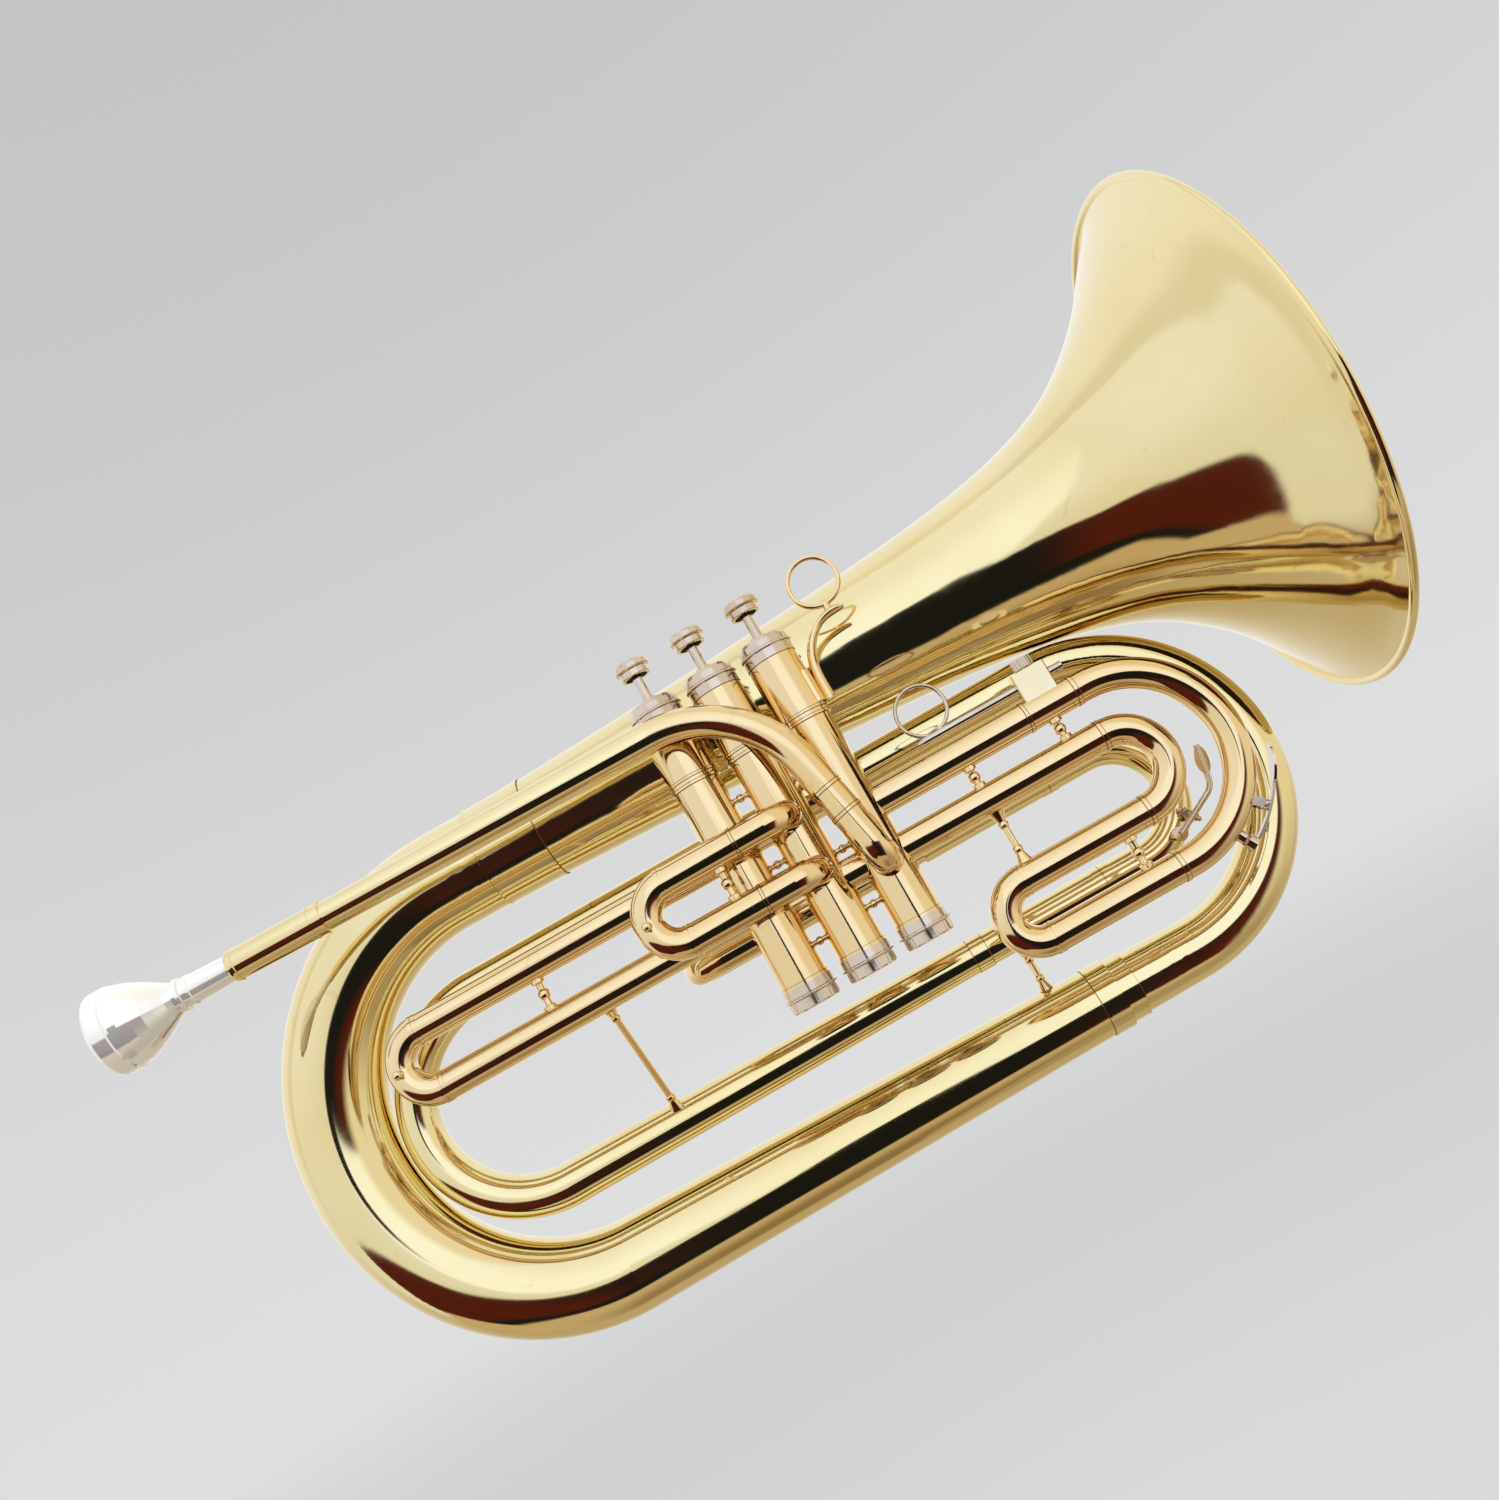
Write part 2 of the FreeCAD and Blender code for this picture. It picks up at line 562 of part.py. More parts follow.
def make_spring(number):
    x = valve_x(number)
    bottom = GUIDE_Z + GUIDE_THICKNESS + 0.55
    height = BARREL_TOP_Z - 2.0 - 0.55 - bottom
    coil_r = 6.0
    wire_r = 0.45
    helix = Part.makeHelix(height / 8.0, height, coil_r)
    helix.translate(V(x, 0, bottom))
    profile = Part.Wire(Part.makeCircle(wire_r, V(x + coil_r, 0, bottom), V(0, 1, 0)))
    return Part.Wire(helix).makePipeShell([profile], True, True)


def make_valve_guides():
    """Cross bars that ride in the barrel slots and carry the springs."""
    guides = []
    for number in (1, 2, 3):
        x = valve_x(number)
        bar = Part.makeBox(19.0, 3.2, GUIDE_THICKNESS, V(x - 9.5, -1.6, GUIDE_Z))
        disc = solid_cylinder((x, 0, GUIDE_Z), (0, 0, 1), 7.6, GUIDE_THICKNESS)
        guides.append(bar.fuse(disc))
    return Part.makeCompound(guides)


def make_top_caps():
    z0 = CASING_TOP_Z
    outline = [(STEM_R + 0.35, 54.8), (9.45, 54.8), (9.45, z0), (11.35, z0), (11.35, z0 + 4.2),
               (11.5, z0 + 4.5), (11.95, z0 + 4.7), (11.95, z0 + 5.5), (11.4, z0 + 5.9),
               (11.1, z0 + 8.6), (10.3, z0 + 10.1), (8.6, z0 + 10.7), (4.4, z0 + 10.8),
               (4.2, z0 + 12.1), (STEM_R + 0.35, z0 + 12.1)]
    return Part.makeCompound([revolve_z(outline, valve_x(n), 0) for n in (1, 2, 3)])


def make_bottom_caps():
    """Screwed caps in two tiers, with finger notches round the lower one."""
    z0 = CASING_BOTTOM_Z
    outline = [(0.0, z0 - 8.4), (0.0, z0 - 9.7), (6.0, z0 - 10.3), (10.2, z0 - 10.0),
               (11.0, z0 - 9.4), (11.1, z0 - 5.4), (11.35, z0 - 5.1), (11.95, z0 - 4.9),
               (11.95, z0 - 4.1), (11.5, z0 - 3.8), (11.45, z0), (9.45, z0), (9.45, z0 + 3.6),
               (8.4, z0 + 3.6), (8.4, z0 - 7.6), (7.6, z0 - 8.4)]
    caps = []
    for n in (1, 2, 3):
        notches = []
        for i in range(12):
            a = 2.0 * math.pi * (i + 0.5) / 12
            notches.append(solid_cylinder((valve_x(n) + 11.7 * math.cos(a), 11.7 * math.sin(a),
                                           z0 - 11.0), (0, 0, 1), 1.15, 5.2))
        caps.append(revolve_z(outline, valve_x(n), 0).cut(notches))
    return Part.makeCompound(caps)


def stud(left, z):
    """Small ball stud between two neighbouring casings."""
    x0 = valve_x(left) + CASING_R - 0.4
    gap = VALVE_PITCH - 2.0 * CASING_R + 0.8
    bar = solid_cylinder((x0, 0, z), (1, 0, 0), 1.2, gap)
    ball = Part.makeSphere(1.9, V(x0 + gap / 2.0, 0, z))
    return bar.fuse(ball)


def make_casing_links():
    """Two air passages between the casings, and the small studs that space them."""
    solids = []
    for left, z in ((1, LINK_12_Z), (2, LINK_23_Z)):
        x0 = valve_x(left)
        link = hollow_cylinder((x0, 0, z), (1, 0, 0), SLIDE_TUBE_R, PORT_R, VALVE_PITCH)
        solids.append(link)
    for left, z in ((1, 15.5), (1, -16.8), (1, -53.0), (2, 11.2), (2, -24.4), (2, -50.6)):
        solids.append(stud(left, z))
    cores = [casing_core(n) for n in (1, 2, 3)]
    return Part.makeCompound([s.cut(cores) for s in solids])


def make_valve_exit_tube():
    """First valve's rear port, turning left and back behind the valves to the tuning slide."""
    x = valve_x(1)
    points = [(x, 0.0, EXIT_Z), (x, EXIT_Y, EXIT_Z), (EXIT_CROOK_X - 12.0, EXIT_Y, EXIT_Z),
              (EXIT_CROOK_X - 12.0, BACK_Y, EXIT_Z), (SLEEVE_START_X, BACK_Y, EXIT_Z)]
    body = pipe_along(points, [11.0, 11.999, 12.0], SLIDE_TUBE_R, SLIDE_TUBE_R - 0.6)
    return body.cut(casing_core(1))


# ---------------------------------------------------------------- valve slides
def slide_crook(crook_x, top_z, low_z, y, leg_length):
    """Movable crook: bow that opens to +X, with two inner legs and joint bands."""
    start = crook_x - SLIDE_GAP
    radius = (top_z - low_z) / 2.0
    bow = rod_along(u_points(start, start, radius, top_z, low_z, y, -1.0), [radius, radius],
                    SLIDE_TUBE_R)
    extra = []
    for z in (top_z, low_z):
        extra.append(solid_cylinder((start, y, z), (1, 0, 0), SLIDE_INNER_R, leg_length))
        extra.append(solid_cylinder((start - 1.6, y, z), (1, 0, 0), SLIDE_TUBE_R + 0.3, 1.6))
    bore_points = u_points(start + leg_length, start, radius, top_z, low_z, y, -1.0)
    bore = rod_along(bore_points, [radius, radius], SLIDE_INNER_BORE_R)
    return bow.multiFuse(extra).cut(bore)


def pull_knob(crook_x, mid_z, y, bow_r):
    """Small ball on a short neck, soldered to the front of a crook's bow."""
    x = crook_x - SLIDE_GAP - bow_r
    front = y - SLIDE_TUBE_R
    neck = cone((x, front + 0.6, mid_z), (0, -1, 0), 2.1, 1.2, 2.0)
    return neck.fuse(Part.makeSphere(2.2, V(x, front - 2.6, mid_z)))


def make_first_slide():
    crook = slide_crook(FIRST_CROOK_X, FIRST_TOP_Z, FIRST_LOW_Z, 0.0, FIRST_LEG_LENGTH)
    mid_z = (FIRST_TOP_Z + FIRST_LOW_Z) / 2.0
    return crook.fuse(pull_knob(FIRST_CROOK_X, mid_z, 0.0, (FIRST_TOP_Z - FIRST_LOW_Z) / 2.0))


def make_second_slide():
    crook = slide_crook(SECOND_CROOK_X, SECOND_TOP_Z, SECOND_LOW_Z, FRONT_Y, SECOND_LEG_LENGTH)
    mid_z = (SECOND_TOP_Z + SECOND_LOW_Z) / 2.0
    return crook.fuse(pull_knob(SECOND_CROOK_X, mid_z, FRONT_Y, (SECOND_TOP_Z - SECOND_LOW_Z) / 2.0))


def make_third_slide():
    return slide_crook(THIRD_CROOK_X, THIRD_UPPER_LEG_Z, THIRD_LOW_Z, 0.0, THIRD_LEG_LENGTH)


def make_first_slide_sleeves():
    sleeves = []
    for z in (FIRST_TOP_Z, FIRST_LOW_Z):
        tube = hollow_cylinder((FIRST_CROOK_X, 0, z), (1, 0, 0), SLIDE_TUBE_R, SLIDE_SLEEVE_BORE_R,
                               valve_x(1) - FIRST_CROOK_X)
        sleeves.append(tube.fuse(joint_band(FIRST_CROOK_X, 0, z, 1.6)).cut(casing_core(1)))
    return Part.makeCompound(sleeves)


def make_second_slide_sleeves():
    sleeves = []
    for z in (SECOND_TOP_Z, SECOND_LOW_Z):
        points = [(SECOND_CROOK_X, FRONT_Y, z), (0.0, FRONT_Y, z), (0.0, 0.0, z)]
        tube = pipe_along(points, [10.0], SLIDE_TUBE_R, SLIDE_SLEEVE_BORE_R)
        bands = [joint_band(SECOND_CROOK_X, FRONT_Y, z, 1.6), joint_band(-24.7, FRONT_Y, z, 1.0)]
        sleeves.append(tube.multiFuse(bands).cut(casing_core(2)))
    return Part.makeCompound(sleeves)


def tube_from_valve(z):
    x0 = valve_x(3)
    tube = hollow_cylinder((x0, 0, z), (1, 0, 0), SLIDE_TUBE_R, PORT_R, THIRD_JOINT_X - x0)
    return tube.cut(casing_core(3))


def make_third_top_tube():
    return tube_from_valve(THIRD_TOP_Z).fuse(joint_band(107.5, 0, THIRD_TOP_Z, 1.2))


def make_third_return_tube():
    return tube_from_valve(THIRD_RETURN_Z)


def third_bow(bow_x, top_z, low_z):
    """Fixed bow of the third loop with a joint band at each end."""
    bow = u_pipe(THIRD_JOINT_X, bow_x, top_z, low_z, 0.0, SLIDE_TUBE_R, PORT_R)
    bands = [joint_band(THIRD_JOINT_X, 0, z, 1.6) for z in (top_z, low_z)]
    return bow.multiFuse(bands)


def make_third_outer_bow():
    return third_bow(THIRD_OUTER_BOW_X, THIRD_TOP_Z, THIRD_LOW_Z)


def make_third_inner_bow():
    return third_bow(THIRD_INNER_BOW_X, THIRD_RETURN_Z, THIRD_UPPER_LEG_Z)


def make_third_slide_sleeves():
    sleeves = []
    for z in (THIRD_UPPER_LEG_Z, THIRD_LOW_Z):
        tube = hollow_cylinder((THIRD_CROOK_X, 0, z), (1, 0, 0), SLIDE_TUBE_R, SLIDE_SLEEVE_BORE_R,
                               THIRD_JOINT_X - THIRD_CROOK_X)
        sleeves.append(tube.fuse(joint_band(THIRD_CROOK_X, 0, z, 1.6)))
    return Part.makeCompound(sleeves)


# ---------------------------------------------------------------- braces
def ball_brace(x, y, top_z, low_z):
    """Turned post with a ball, soldered between two level tubes of the slide size."""
    high = top_z - SLIDE_TUBE_R
    low = low_z + SLIDE_TUBE_R
    mid = (high + low) / 2.0
    outline = [(0.0, low - 1.0), (3.1, low - 1.0), (3.1, low + 1.0), (1.7, low + 1.6),
               (1.5, mid), (1.7, high - 1.6), (3.1, high - 1.0), (3.1, high + 1.0), (0.0, high + 1.0)]
    post = revolve_z(outline, x, y).fuse(Part.makeSphere(2.7, V(x, y, mid)))
    trims = [solid_cylinder((x - 6.0, y, z), (1, 0, 0), SLIDE_TUBE_R, 12.0) for z in (top_z, low_z)]
    return post.cut(trims)


def make_ball_braces():
    places = [(-125.9, 0.0, FIRST_TOP_Z, FIRST_LOW_Z), (-34.6, FRONT_Y, SECOND_TOP_Z, SECOND_LOW_Z),
              (76.6, 0.0, THIRD_TOP_Z, THIRD_RETURN_Z), (118.0, 0.0, THIRD_TOP_Z, THIRD_RETURN_Z),
              (119.0, 0.0, THIRD_UPPER_LEG_Z, THIRD_LOW_Z)]
    return Part.makeCompound([ball_brace(*place) for place in places])


def rod_brace(start, end, trim_start, trim_end):
    """Slim rod with flared feet between two tube axes; each trim is (radius) of its tube."""
    a = V(*start)
    b = V(*end)
    direction = unit(b - a)
    first = a + direction * (trim_start - 0.6)
    last = b - direction * (trim_end - 0.6)
    length = first.distanceToPoint(last)
    rod = Part.makeCylinder(1.6, length, first, direction)
    feet = [Part.makeCone(3.6, 1.6, 5.0, first, direction),
            Part.makeCone(3.6, 1.6, 5.0, last, direction * -1.0),
            Part.makeSphere(2.3, first + direction * 6.0),
            Part.makeSphere(2.3, last - direction * 6.0)]
    trims = [solid_cylinder((start[0] - 9.0, start[1], start[2]), (1, 0, 0), trim_start, 18.0),
             solid_cylinder((end[0] - 9.0, end[1], end[2]), (1, 0, 0), trim_end, 18.0)]
    return rod.multiFuse(feet).cut(trims)


def branch_radius(x):
    run = (x - BIG_BOW_X) / (BRANCH_JOINT_X - BIG_BOW_X)
    return BIG_BOW_BOTTOM_R + (BRANCH_END_R - BIG_BOW_BOTTOM_R) * run


def lower_tube_radius(x):
    run = (x - INNER_BOW_X) / (SLEEVE_START_X - INNER_BOW_X)
    return INNER_BOW_TUBE_R + (TUNING_TUBE_R - INNER_BOW_TUBE_R) * min(run, 1.0)


def make_rod_braces():
    long_x = -105.3
    low_x = 62.0
    braces = [
        rod_brace((long_x, 0.0, FIRST_LOW_Z), (long_x, BACK_Y, LOWER_Z),
                  SLIDE_TUBE_R, lower_tube_radius(long_x - 9.0)),
        rod_brace((77.0, 0.0, THIRD_RETURN_Z), (77.0, 0.0, THIRD_UPPER_LEG_Z),
                  SLIDE_TUBE_R, SLIDE_TUBE_R),
        rod_brace((low_x, BACK_Y, LOWER_Z), (low_x, BACK_Y, BOTTOM_Z),
                  TUNING_TUBE_R, branch_radius(low_x - 9.0)),
    ]
    return Part.makeCompound(braces)


# ---------------------------------------------------------------- finger hook, rings and rod
def flat_round_section(x, z, degrees, half_thick, half_wide):
    """Oval section square to a heading in the XZ plane, wide along Y."""
    a = math.radians(degrees)
    tangent = V(math.cos(a), 0, math.sin(a))
    normal = V(0, 1, 0).cross(tangent)
    matrix = FreeCAD.Matrix(0, normal.x, tangent.x, x, 1, normal.y, tangent.y, 0,
                            0, normal.z, tangent.z, z, 0, 0, 0, 1)
    oval = Part.Ellipse(V(0, 0, 0), half_wide, half_thick).toShape()
    oval.transformShape(matrix)
    return Part.Wire(oval)


def make_finger_hook():
    """Curved finger rest that tapers to its tip, on a foot soldered to the third casing."""
    x0 = HOOK_BASE_X
    stations = [(0.0, 33.6, 90.0, 2.7, 4.4), (0.3, 44.0, 87.0, 2.4, 4.1), (2.4, 54.0, 70.0, 2.2, 3.8),
                (7.6, 61.8, 44.0, 2.0, 3.5), (15.4, 66.3, 16.0, 1.8, 3.1), (23.4, 66.7, -10.0, 1.4, 2.6),
                (24.8, 66.3, -16.0, 0.7, 1.6)]
    bar = Part.makeLoft([flat_round_section(x0 + dx, z, a, t, w) for dx, z, a, t, w in stations],
                        True, False)
    shell = hollow_cylinder((valve_x(3), 0, 34.2), (0, 0, 1), CASING_UPPER_R + 1.0, CASING_UPPER_R, 15.0)
    window = Part.makeBox(14.0, 15.0, 15.0, V(valve_x(3) + 5.0, -7.5, 34.2))
    hook = bar.fuse(shell.common(window))
    keep_out = solid_cylinder((valve_x(3), 0, 20.0), (0, 0, 1), CASING_UPPER_R, 60.0)
    band_room = hollow_cylinder((valve_x(3), 0, 29.0), (0, 0, 1), CASING_UPPER_R + 0.6, 5.0, 5.0)
    return hook.cut([keep_out, band_room])


def make_finger_ring():
    """Wire ring soldered on the hook near its tip."""
    x = 59.5
    centre = V(x, 0, 71.0 + RING_R)
    ring = Part.makeTorus(RING_R, RING_WIRE_R, centre, V(0, 1, 0))
    foot = cone((x, 0, 66.6), (0, 0, 1), 2.6, 1.3, 4.4)
    return ring.fuse(foot).cut(SHAPES["finger_hook"])


def make_rod_block():
    """Clamp block on the third loop's top tube, bored for the ring rod and tapped on top."""
    length = BLOCK_X1 - BLOCK_X0
    block = Part.makeBox(length, 9.0, 14.0, V(BLOCK_X0, -4.5, THIRD_TOP_Z + 4.0))
    block = block.makeFillet(0.8, [e for e in block.Edges if abs(e.tangentAt(0).z) > 0.9])
    bore = solid_cylinder((BLOCK_X0 - 1.0, 0, ROD_Z), (1, 0, 0), ROD_R + 0.06, length + 2.0)
    tapped = solid_cylinder((118.3, 0, ROD_Z), (0, 0, 1), 1.55, 12.0)
    tube = solid_cylinder((BLOCK_X0 - 1.0, 0, THIRD_TOP_Z), (1, 0, 0), SLIDE_TUBE_R, length + 2.0)
    return block.cut([bore, tapped, tube])


def make_ring_rod():
    """Straight rod with a thin wire ring standing on its free end."""
    rod = solid_cylinder((66.0, 0, ROD_Z), (1, 0, 0), ROD_R, 66.5)
    tip = cone((66.0, 0, ROD_Z), (-1, 0, 0), ROD_R, 1.0, 3.0)
    ring = Part.makeTorus(RING_R, RING_WIRE_R * 0.8, V(71.5, 0, ROD_Z + 1.2 + RING_R), V(0, 1, 0))
    return rod.fuse(tip).fuse(ring)


def make_thumb_screw():
    """Knurled screw that clamps the rod in its block."""
    x = 118.3
    shank = solid_cylinder((x, 0, ROD_Z + ROD_R + 0.3), (0, 0, 1), 1.45, 8.0)
    head = solid_cylinder((x, 0, 4.4), (0, 0, 1), 4.6, 4.2)
    notches = []
    for i in range(18):
        a = 2.0 * math.pi * i / 18
        notches.append(solid_cylinder((x + 4.9 * math.cos(a), 4.9 * math.sin(a), 4.0),
                                      (0, 0, 1), 0.6, 5.0))
    return shank.fuse(head).cut(notches)


# ---------------------------------------------------------------- water keys
KEY_PIVOT_H = 4.6
KEY_BARREL_R = 1.9
KEY_BARREL_HALF = 1.0
KEY_PIN_R = 0.8
KEY_ARM_H = KEY_PIVOT_H + 1.7
KEY_ARM_THICKNESS = 1.1
TUNING_KEY_CORK = (145.0, -89.0)
TUNING_KEY_HEADING = 33.0
TUNING_KEY_PIVOT = 10.0
THIRD_KEY_CORK_ANGLE = -62.0
THIRD_KEY_PIVOT_ANGLE = -44.0
THIRD_KEY_PLATE_ANGLE = -26.5
THIRD_KEY_TIP_ANGLE = -17.0


def to_key_frame(shape, place):
    """Carry a shape built on local x (along) and z (outward) to its place on a tube."""
    base, along, outward = place
    x = unit(V(*along))
    z = unit(V(*outward))
    y = z.cross(x)
    matrix = FreeCAD.Matrix(x.x, y.x, z.x, base[0], x.y, y.y, z.y, base[1],
                            x.z, y.z, z.z, base[2], 0, 0, 0, 1)
    moved = shape.copy()
    moved.transformShape(matrix)
    return moved


def tuning_key_place(run):
    """Place on the tuning slide's front face, a distance along its lever from the cork."""
    a = math.radians(TUNING_KEY_HEADING)
    base = (TUNING_KEY_CORK[0] + run * math.cos(a), BACK_Y - TUNING_TUBE_R,
            TUNING_KEY_CORK[1] + run * math.sin(a))
    return base, (math.cos(a), 0.0, math.sin(a)), (0.0, -1.0, 0.0)


def third_key_place(degrees):
    """Place on the outer side of the third loop's outer bow."""
    a = math.radians(degrees)
    centre_z = (THIRD_TOP_Z + THIRD_LOW_Z) / 2.0
    r = (THIRD_TOP_Z - THIRD_LOW_Z) / 2.0 + SLIDE_TUBE_R
    base = (THIRD_OUTER_BOW_X + r * math.cos(a), 0.0, centre_z + r * math.sin(a))
    return base, (-math.sin(a), 0.0, math.cos(a)), (math.cos(a), 0.0, math.sin(a))


def tuning_key_arm():
    """Round bar that runs past the slide's bow and turns up to an oval finger pad."""
    h = KEY_ARM_H + 1.9
    bar = rod_along([(0, 0, h), (24.5, -2.6, h), (37.8, 11.2, h)], [8.0], 1.35)
    web = solid_cylinder((TUNING_KEY_PIVOT, -0.6, KEY_PIVOT_H + 1.2), (0, 0, 1), 1.0, 2.6)
    pad = Part.Face(Part.Wire(Part.Ellipse(V(0, 0, 0), 6.5, 2.9).toShape())).extrude(V(0, 0, 1.3))
    pad.rotate(V(0, 0, 0), V(0, 0, 1), 46.0)
    pad.translate(V(33.0, 6.2, h - 0.2))
    return to_key_frame(bar.multiFuse([web, pad]), tuning_key_place(0.0))


def third_key_arm():
    """Flat bar bent along the outer bow, ending in an oval finger plate."""
    centre = V(THIRD_OUTER_BOW_X, 0, (THIRD_TOP_Z + THIRD_LOW_Z) / 2.0)
    inner_r = (THIRD_TOP_Z - THIRD_LOW_Z) / 2.0 + SLIDE_TUBE_R + KEY_ARM_H
    sector = [centre]
    for degrees in (THIRD_KEY_CORK_ANGLE, THIRD_KEY_PIVOT_ANGLE, THIRD_KEY_TIP_ANGLE):
        a = math.radians(degrees)
        sector.append(centre + V(math.cos(a), 0, math.sin(a)) * (2.0 * inner_r))
    wedge = Part.Face(Part.makePolygon(sector + [centre]))
    wedge.translate(V(0, -8.0, 0))
    wedge = wedge.extrude(V(0, 16.0, 0))

    def bent_strip(half_wide):
        start = (centre.x, -half_wide, centre.z)
        strip = hollow_cylinder(start, (0, 1, 0), inner_r + KEY_ARM_THICKNESS, inner_r, 2.0 * half_wide)
        return strip.common(wedge)

    oval = Part.Face(Part.Wire(Part.Ellipse(V(0, 0, 0), 8.2, 3.9).toShape())).extrude(V(0, 0, 12.0))
    plate = bent_strip(5.0).common(to_key_frame(oval, third_key_place(THIRD_KEY_PLATE_ANGLE)))
    return bent_strip(1.6).fuse(plate)


def key_posts(sink):
    """Hinge posts with their pin."""
    posts = []
    for y in (-3.6, 2.4):
        posts.append(Part.makeBox(3.8, 1.2, KEY_PIVOT_H + sink, V(-1.9, y, -sink)))
        posts.append(solid_cylinder((0, y, KEY_PIVOT_H), (0, 1, 0), 1.9, 1.2))
    pin = solid_cylinder((0, -4.3, KEY_PIVOT_H), (0, 1, 0), KEY_PIN_R, 8.6)
    heads = [Part.makeSphere(1.3, V(0, y, KEY_PIVOT_H)) for y in (-4.4, 4.4)]
    return posts[0].multiFuse(posts[1:] + [pin] + heads)


def make_key_parts(arm, cork_place, pivot_place, host, sink):
    """Return lever, cork, spring and saddle of one water key, fitted to its host tube."""
    barrel = solid_cylinder((0, -KEY_BARREL_HALF, KEY_PIVOT_H), (0, 1, 0), KEY_BARREL_R,
                            2.0 * KEY_BARREL_HALF)
    pin_hole = solid_cylinder((0, -3.0, KEY_PIVOT_H), (0, 1, 0), KEY_PIN_R + 0.05, 6.0)
    cup = hollow_cylinder((0, 0, KEY_PIVOT_H - 0.9), (0, 0, 1), 3.2, 2.7, 2.7)
    lid = solid_cylinder((0, 0, KEY_ARM_H), (0, 0, 1), 3.2, KEY_ARM_THICKNESS)
    cork_bottom = KEY_PIVOT_H - 1.9
    cork = solid_cylinder((0, 0, cork_bottom), (0, 0, 1), 2.65, KEY_ARM_H - cork_bottom)
    nipple = hollow_cylinder((0, 0, -2.5), (0, 0, 1), 2.6, 1.3, cork_bottom + 2.2)
    turns = Part.makeCompound([Part.makeTorus(1.25, 0.22, V(0, y, KEY_PIVOT_H), V(0, 1, 0))
                               for y in (-1.85, -1.35, 1.35, 1.85)])
    lever = arm.multiFuse([to_key_frame(barrel, pivot_place), to_key_frame(cup, cork_place),
                           to_key_frame(lid, cork_place)])
    spring_room = Part.makeCompound([
        solid_cylinder((0, y, KEY_PIVOT_H), (0, 1, 0), 1.75, 1.25) for y in (-2.3, 1.05)])
    lever = lever.cut([to_key_frame(pin_hole, pivot_place), to_key_frame(cork, cork_place),
                       to_key_frame(spring_room, pivot_place)])
    saddle = Part.makeCompound([to_key_frame(key_posts(sink), pivot_place).cut(host),
                                to_key_frame(nipple, cork_place).cut(host)])
    return lever, to_key_frame(cork, cork_place), to_key_frame(turns, pivot_place), saddle


def make_tuning_key():
    radius = TUNING_BOW_R
    points = u_points(TUNING_JOINT_X, TUNING_BOW_X, radius, TUNING_TOP_Z, LOWER_Z, BACK_Y, 1.0)
    host = rod_along(points, [radius, radius], TUNING_TUBE_R)
    return make_key_parts(tuning_key_arm(), tuning_key_place(0.0), tuning_key_place(TUNING_KEY_PIVOT),
                          host, 6.7)


def make_third_key():
    radius = (THIRD_TOP_Z - THIRD_LOW_Z) / 2.0
    points = u_points(THIRD_JOINT_X, THIRD_OUTER_BOW_X, radius, THIRD_TOP_Z, THIRD_LOW_Z, 0.0, 1.0)
    host = rod_along(points, [radius, radius], SLIDE_TUBE_R)
    return make_key_parts(third_key_arm(), third_key_place(THIRD_KEY_CORK_ANGLE),
                          third_key_place(THIRD_KEY_PIVOT_ANGLE), host, 3.5)


# ---------------------------------------------------------------- assembly
def build_all():
    SHAPES["bell"] = make_bell()
    SHAPES["big_bow"] = make_big_bow()
    SHAPES["bottom_branch"] = make_bottom_branch()
    SHAPES["right_bow"] = make_right_bow()
    SHAPES["upper_back_tube"] = make_upper_back_tube()
    SHAPES["inner_bow"] = make_inner_bow()
    SHAPES["lower_back_tube"] = make_lower_back_tube()
    SHAPES["ferrules"] = make_ferrules()
    SHAPES["tuning_sleeves"] = make_tuning_sleeves()
    SHAPES["tuning_slide"] = make_tuning_slide()
    SHAPES["mouthpiece_receiver"] = make_receiver()
    SHAPES["mouthpiece"] = make_mouthpiece()
    SHAPES["leadpipe"] = make_leadpipe()
    SHAPES["leadpipe_bend"] = make_leadpipe_bend()
    SHAPES["leadpipe_elbow"] = make_leadpipe_elbow()
    for number in (1, 2, 3):
        SHAPES["valve_casing_%d" % number] = make_casing(number)
        SHAPES["piston_%d" % number] = make_piston(number)
        SHAPES["stem_button_%d" % number] = make_stem(number)
        SHAPES["valve_felts_%d" % number] = make_felts(number)
        SHAPES["valve_spring_%d" % number] = make_spring(number)
    SHAPES["valve_guides"] = make_valve_guides()
    SHAPES["top_caps"] = make_top_caps()
    SHAPES["bottom_caps"] = make_bottom_caps()
    SHAPES["casing_links"] = make_casing_links()
    SHAPES["valve_exit_tube"] = make_valve_exit_tube()
    SHAPES["first_slide"] = make_first_slide()
    SHAPES["first_slide_sleeves"] = make_first_slide_sleeves()
    SHAPES["second_slide"] = make_second_slide()
    SHAPES["second_slide_sleeves"] = make_second_slide_sleeves()
    SHAPES["third_slide"] = make_third_slide()
    SHAPES["third_slide_sleeves"] = make_third_slide_sleeves()
    SHAPES["third_top_tube"] = make_third_top_tube()
    SHAPES["third_return_tube"] = make_third_return_tube()
    SHAPES["third_outer_bow"] = make_third_outer_bow()
    SHAPES["third_inner_bow"] = make_third_inner_bow()
    SHAPES["ball_braces"] = make_ball_braces()
    SHAPES["rod_braces"] = make_rod_braces()
    SHAPES["finger_hook"] = make_finger_hook()
    SHAPES["finger_ring"] = make_finger_ring()
    SHAPES["rod_block"] = make_rod_block()
    SHAPES["ring_rod"] = make_ring_rod()
    SHAPES["thumb_screw"] = make_thumb_screw()
    for name, parts in (("tuning", make_tuning_key()), ("third", make_third_key())):
        SHAPES[name + "_key_lever"] = parts[0]
        SHAPES[name + "_key_cork"] = parts[1]
        SHAPES[name + "_key_spring"] = parts[2]
        SHAPES[name + "_key_saddle"] = parts[3]


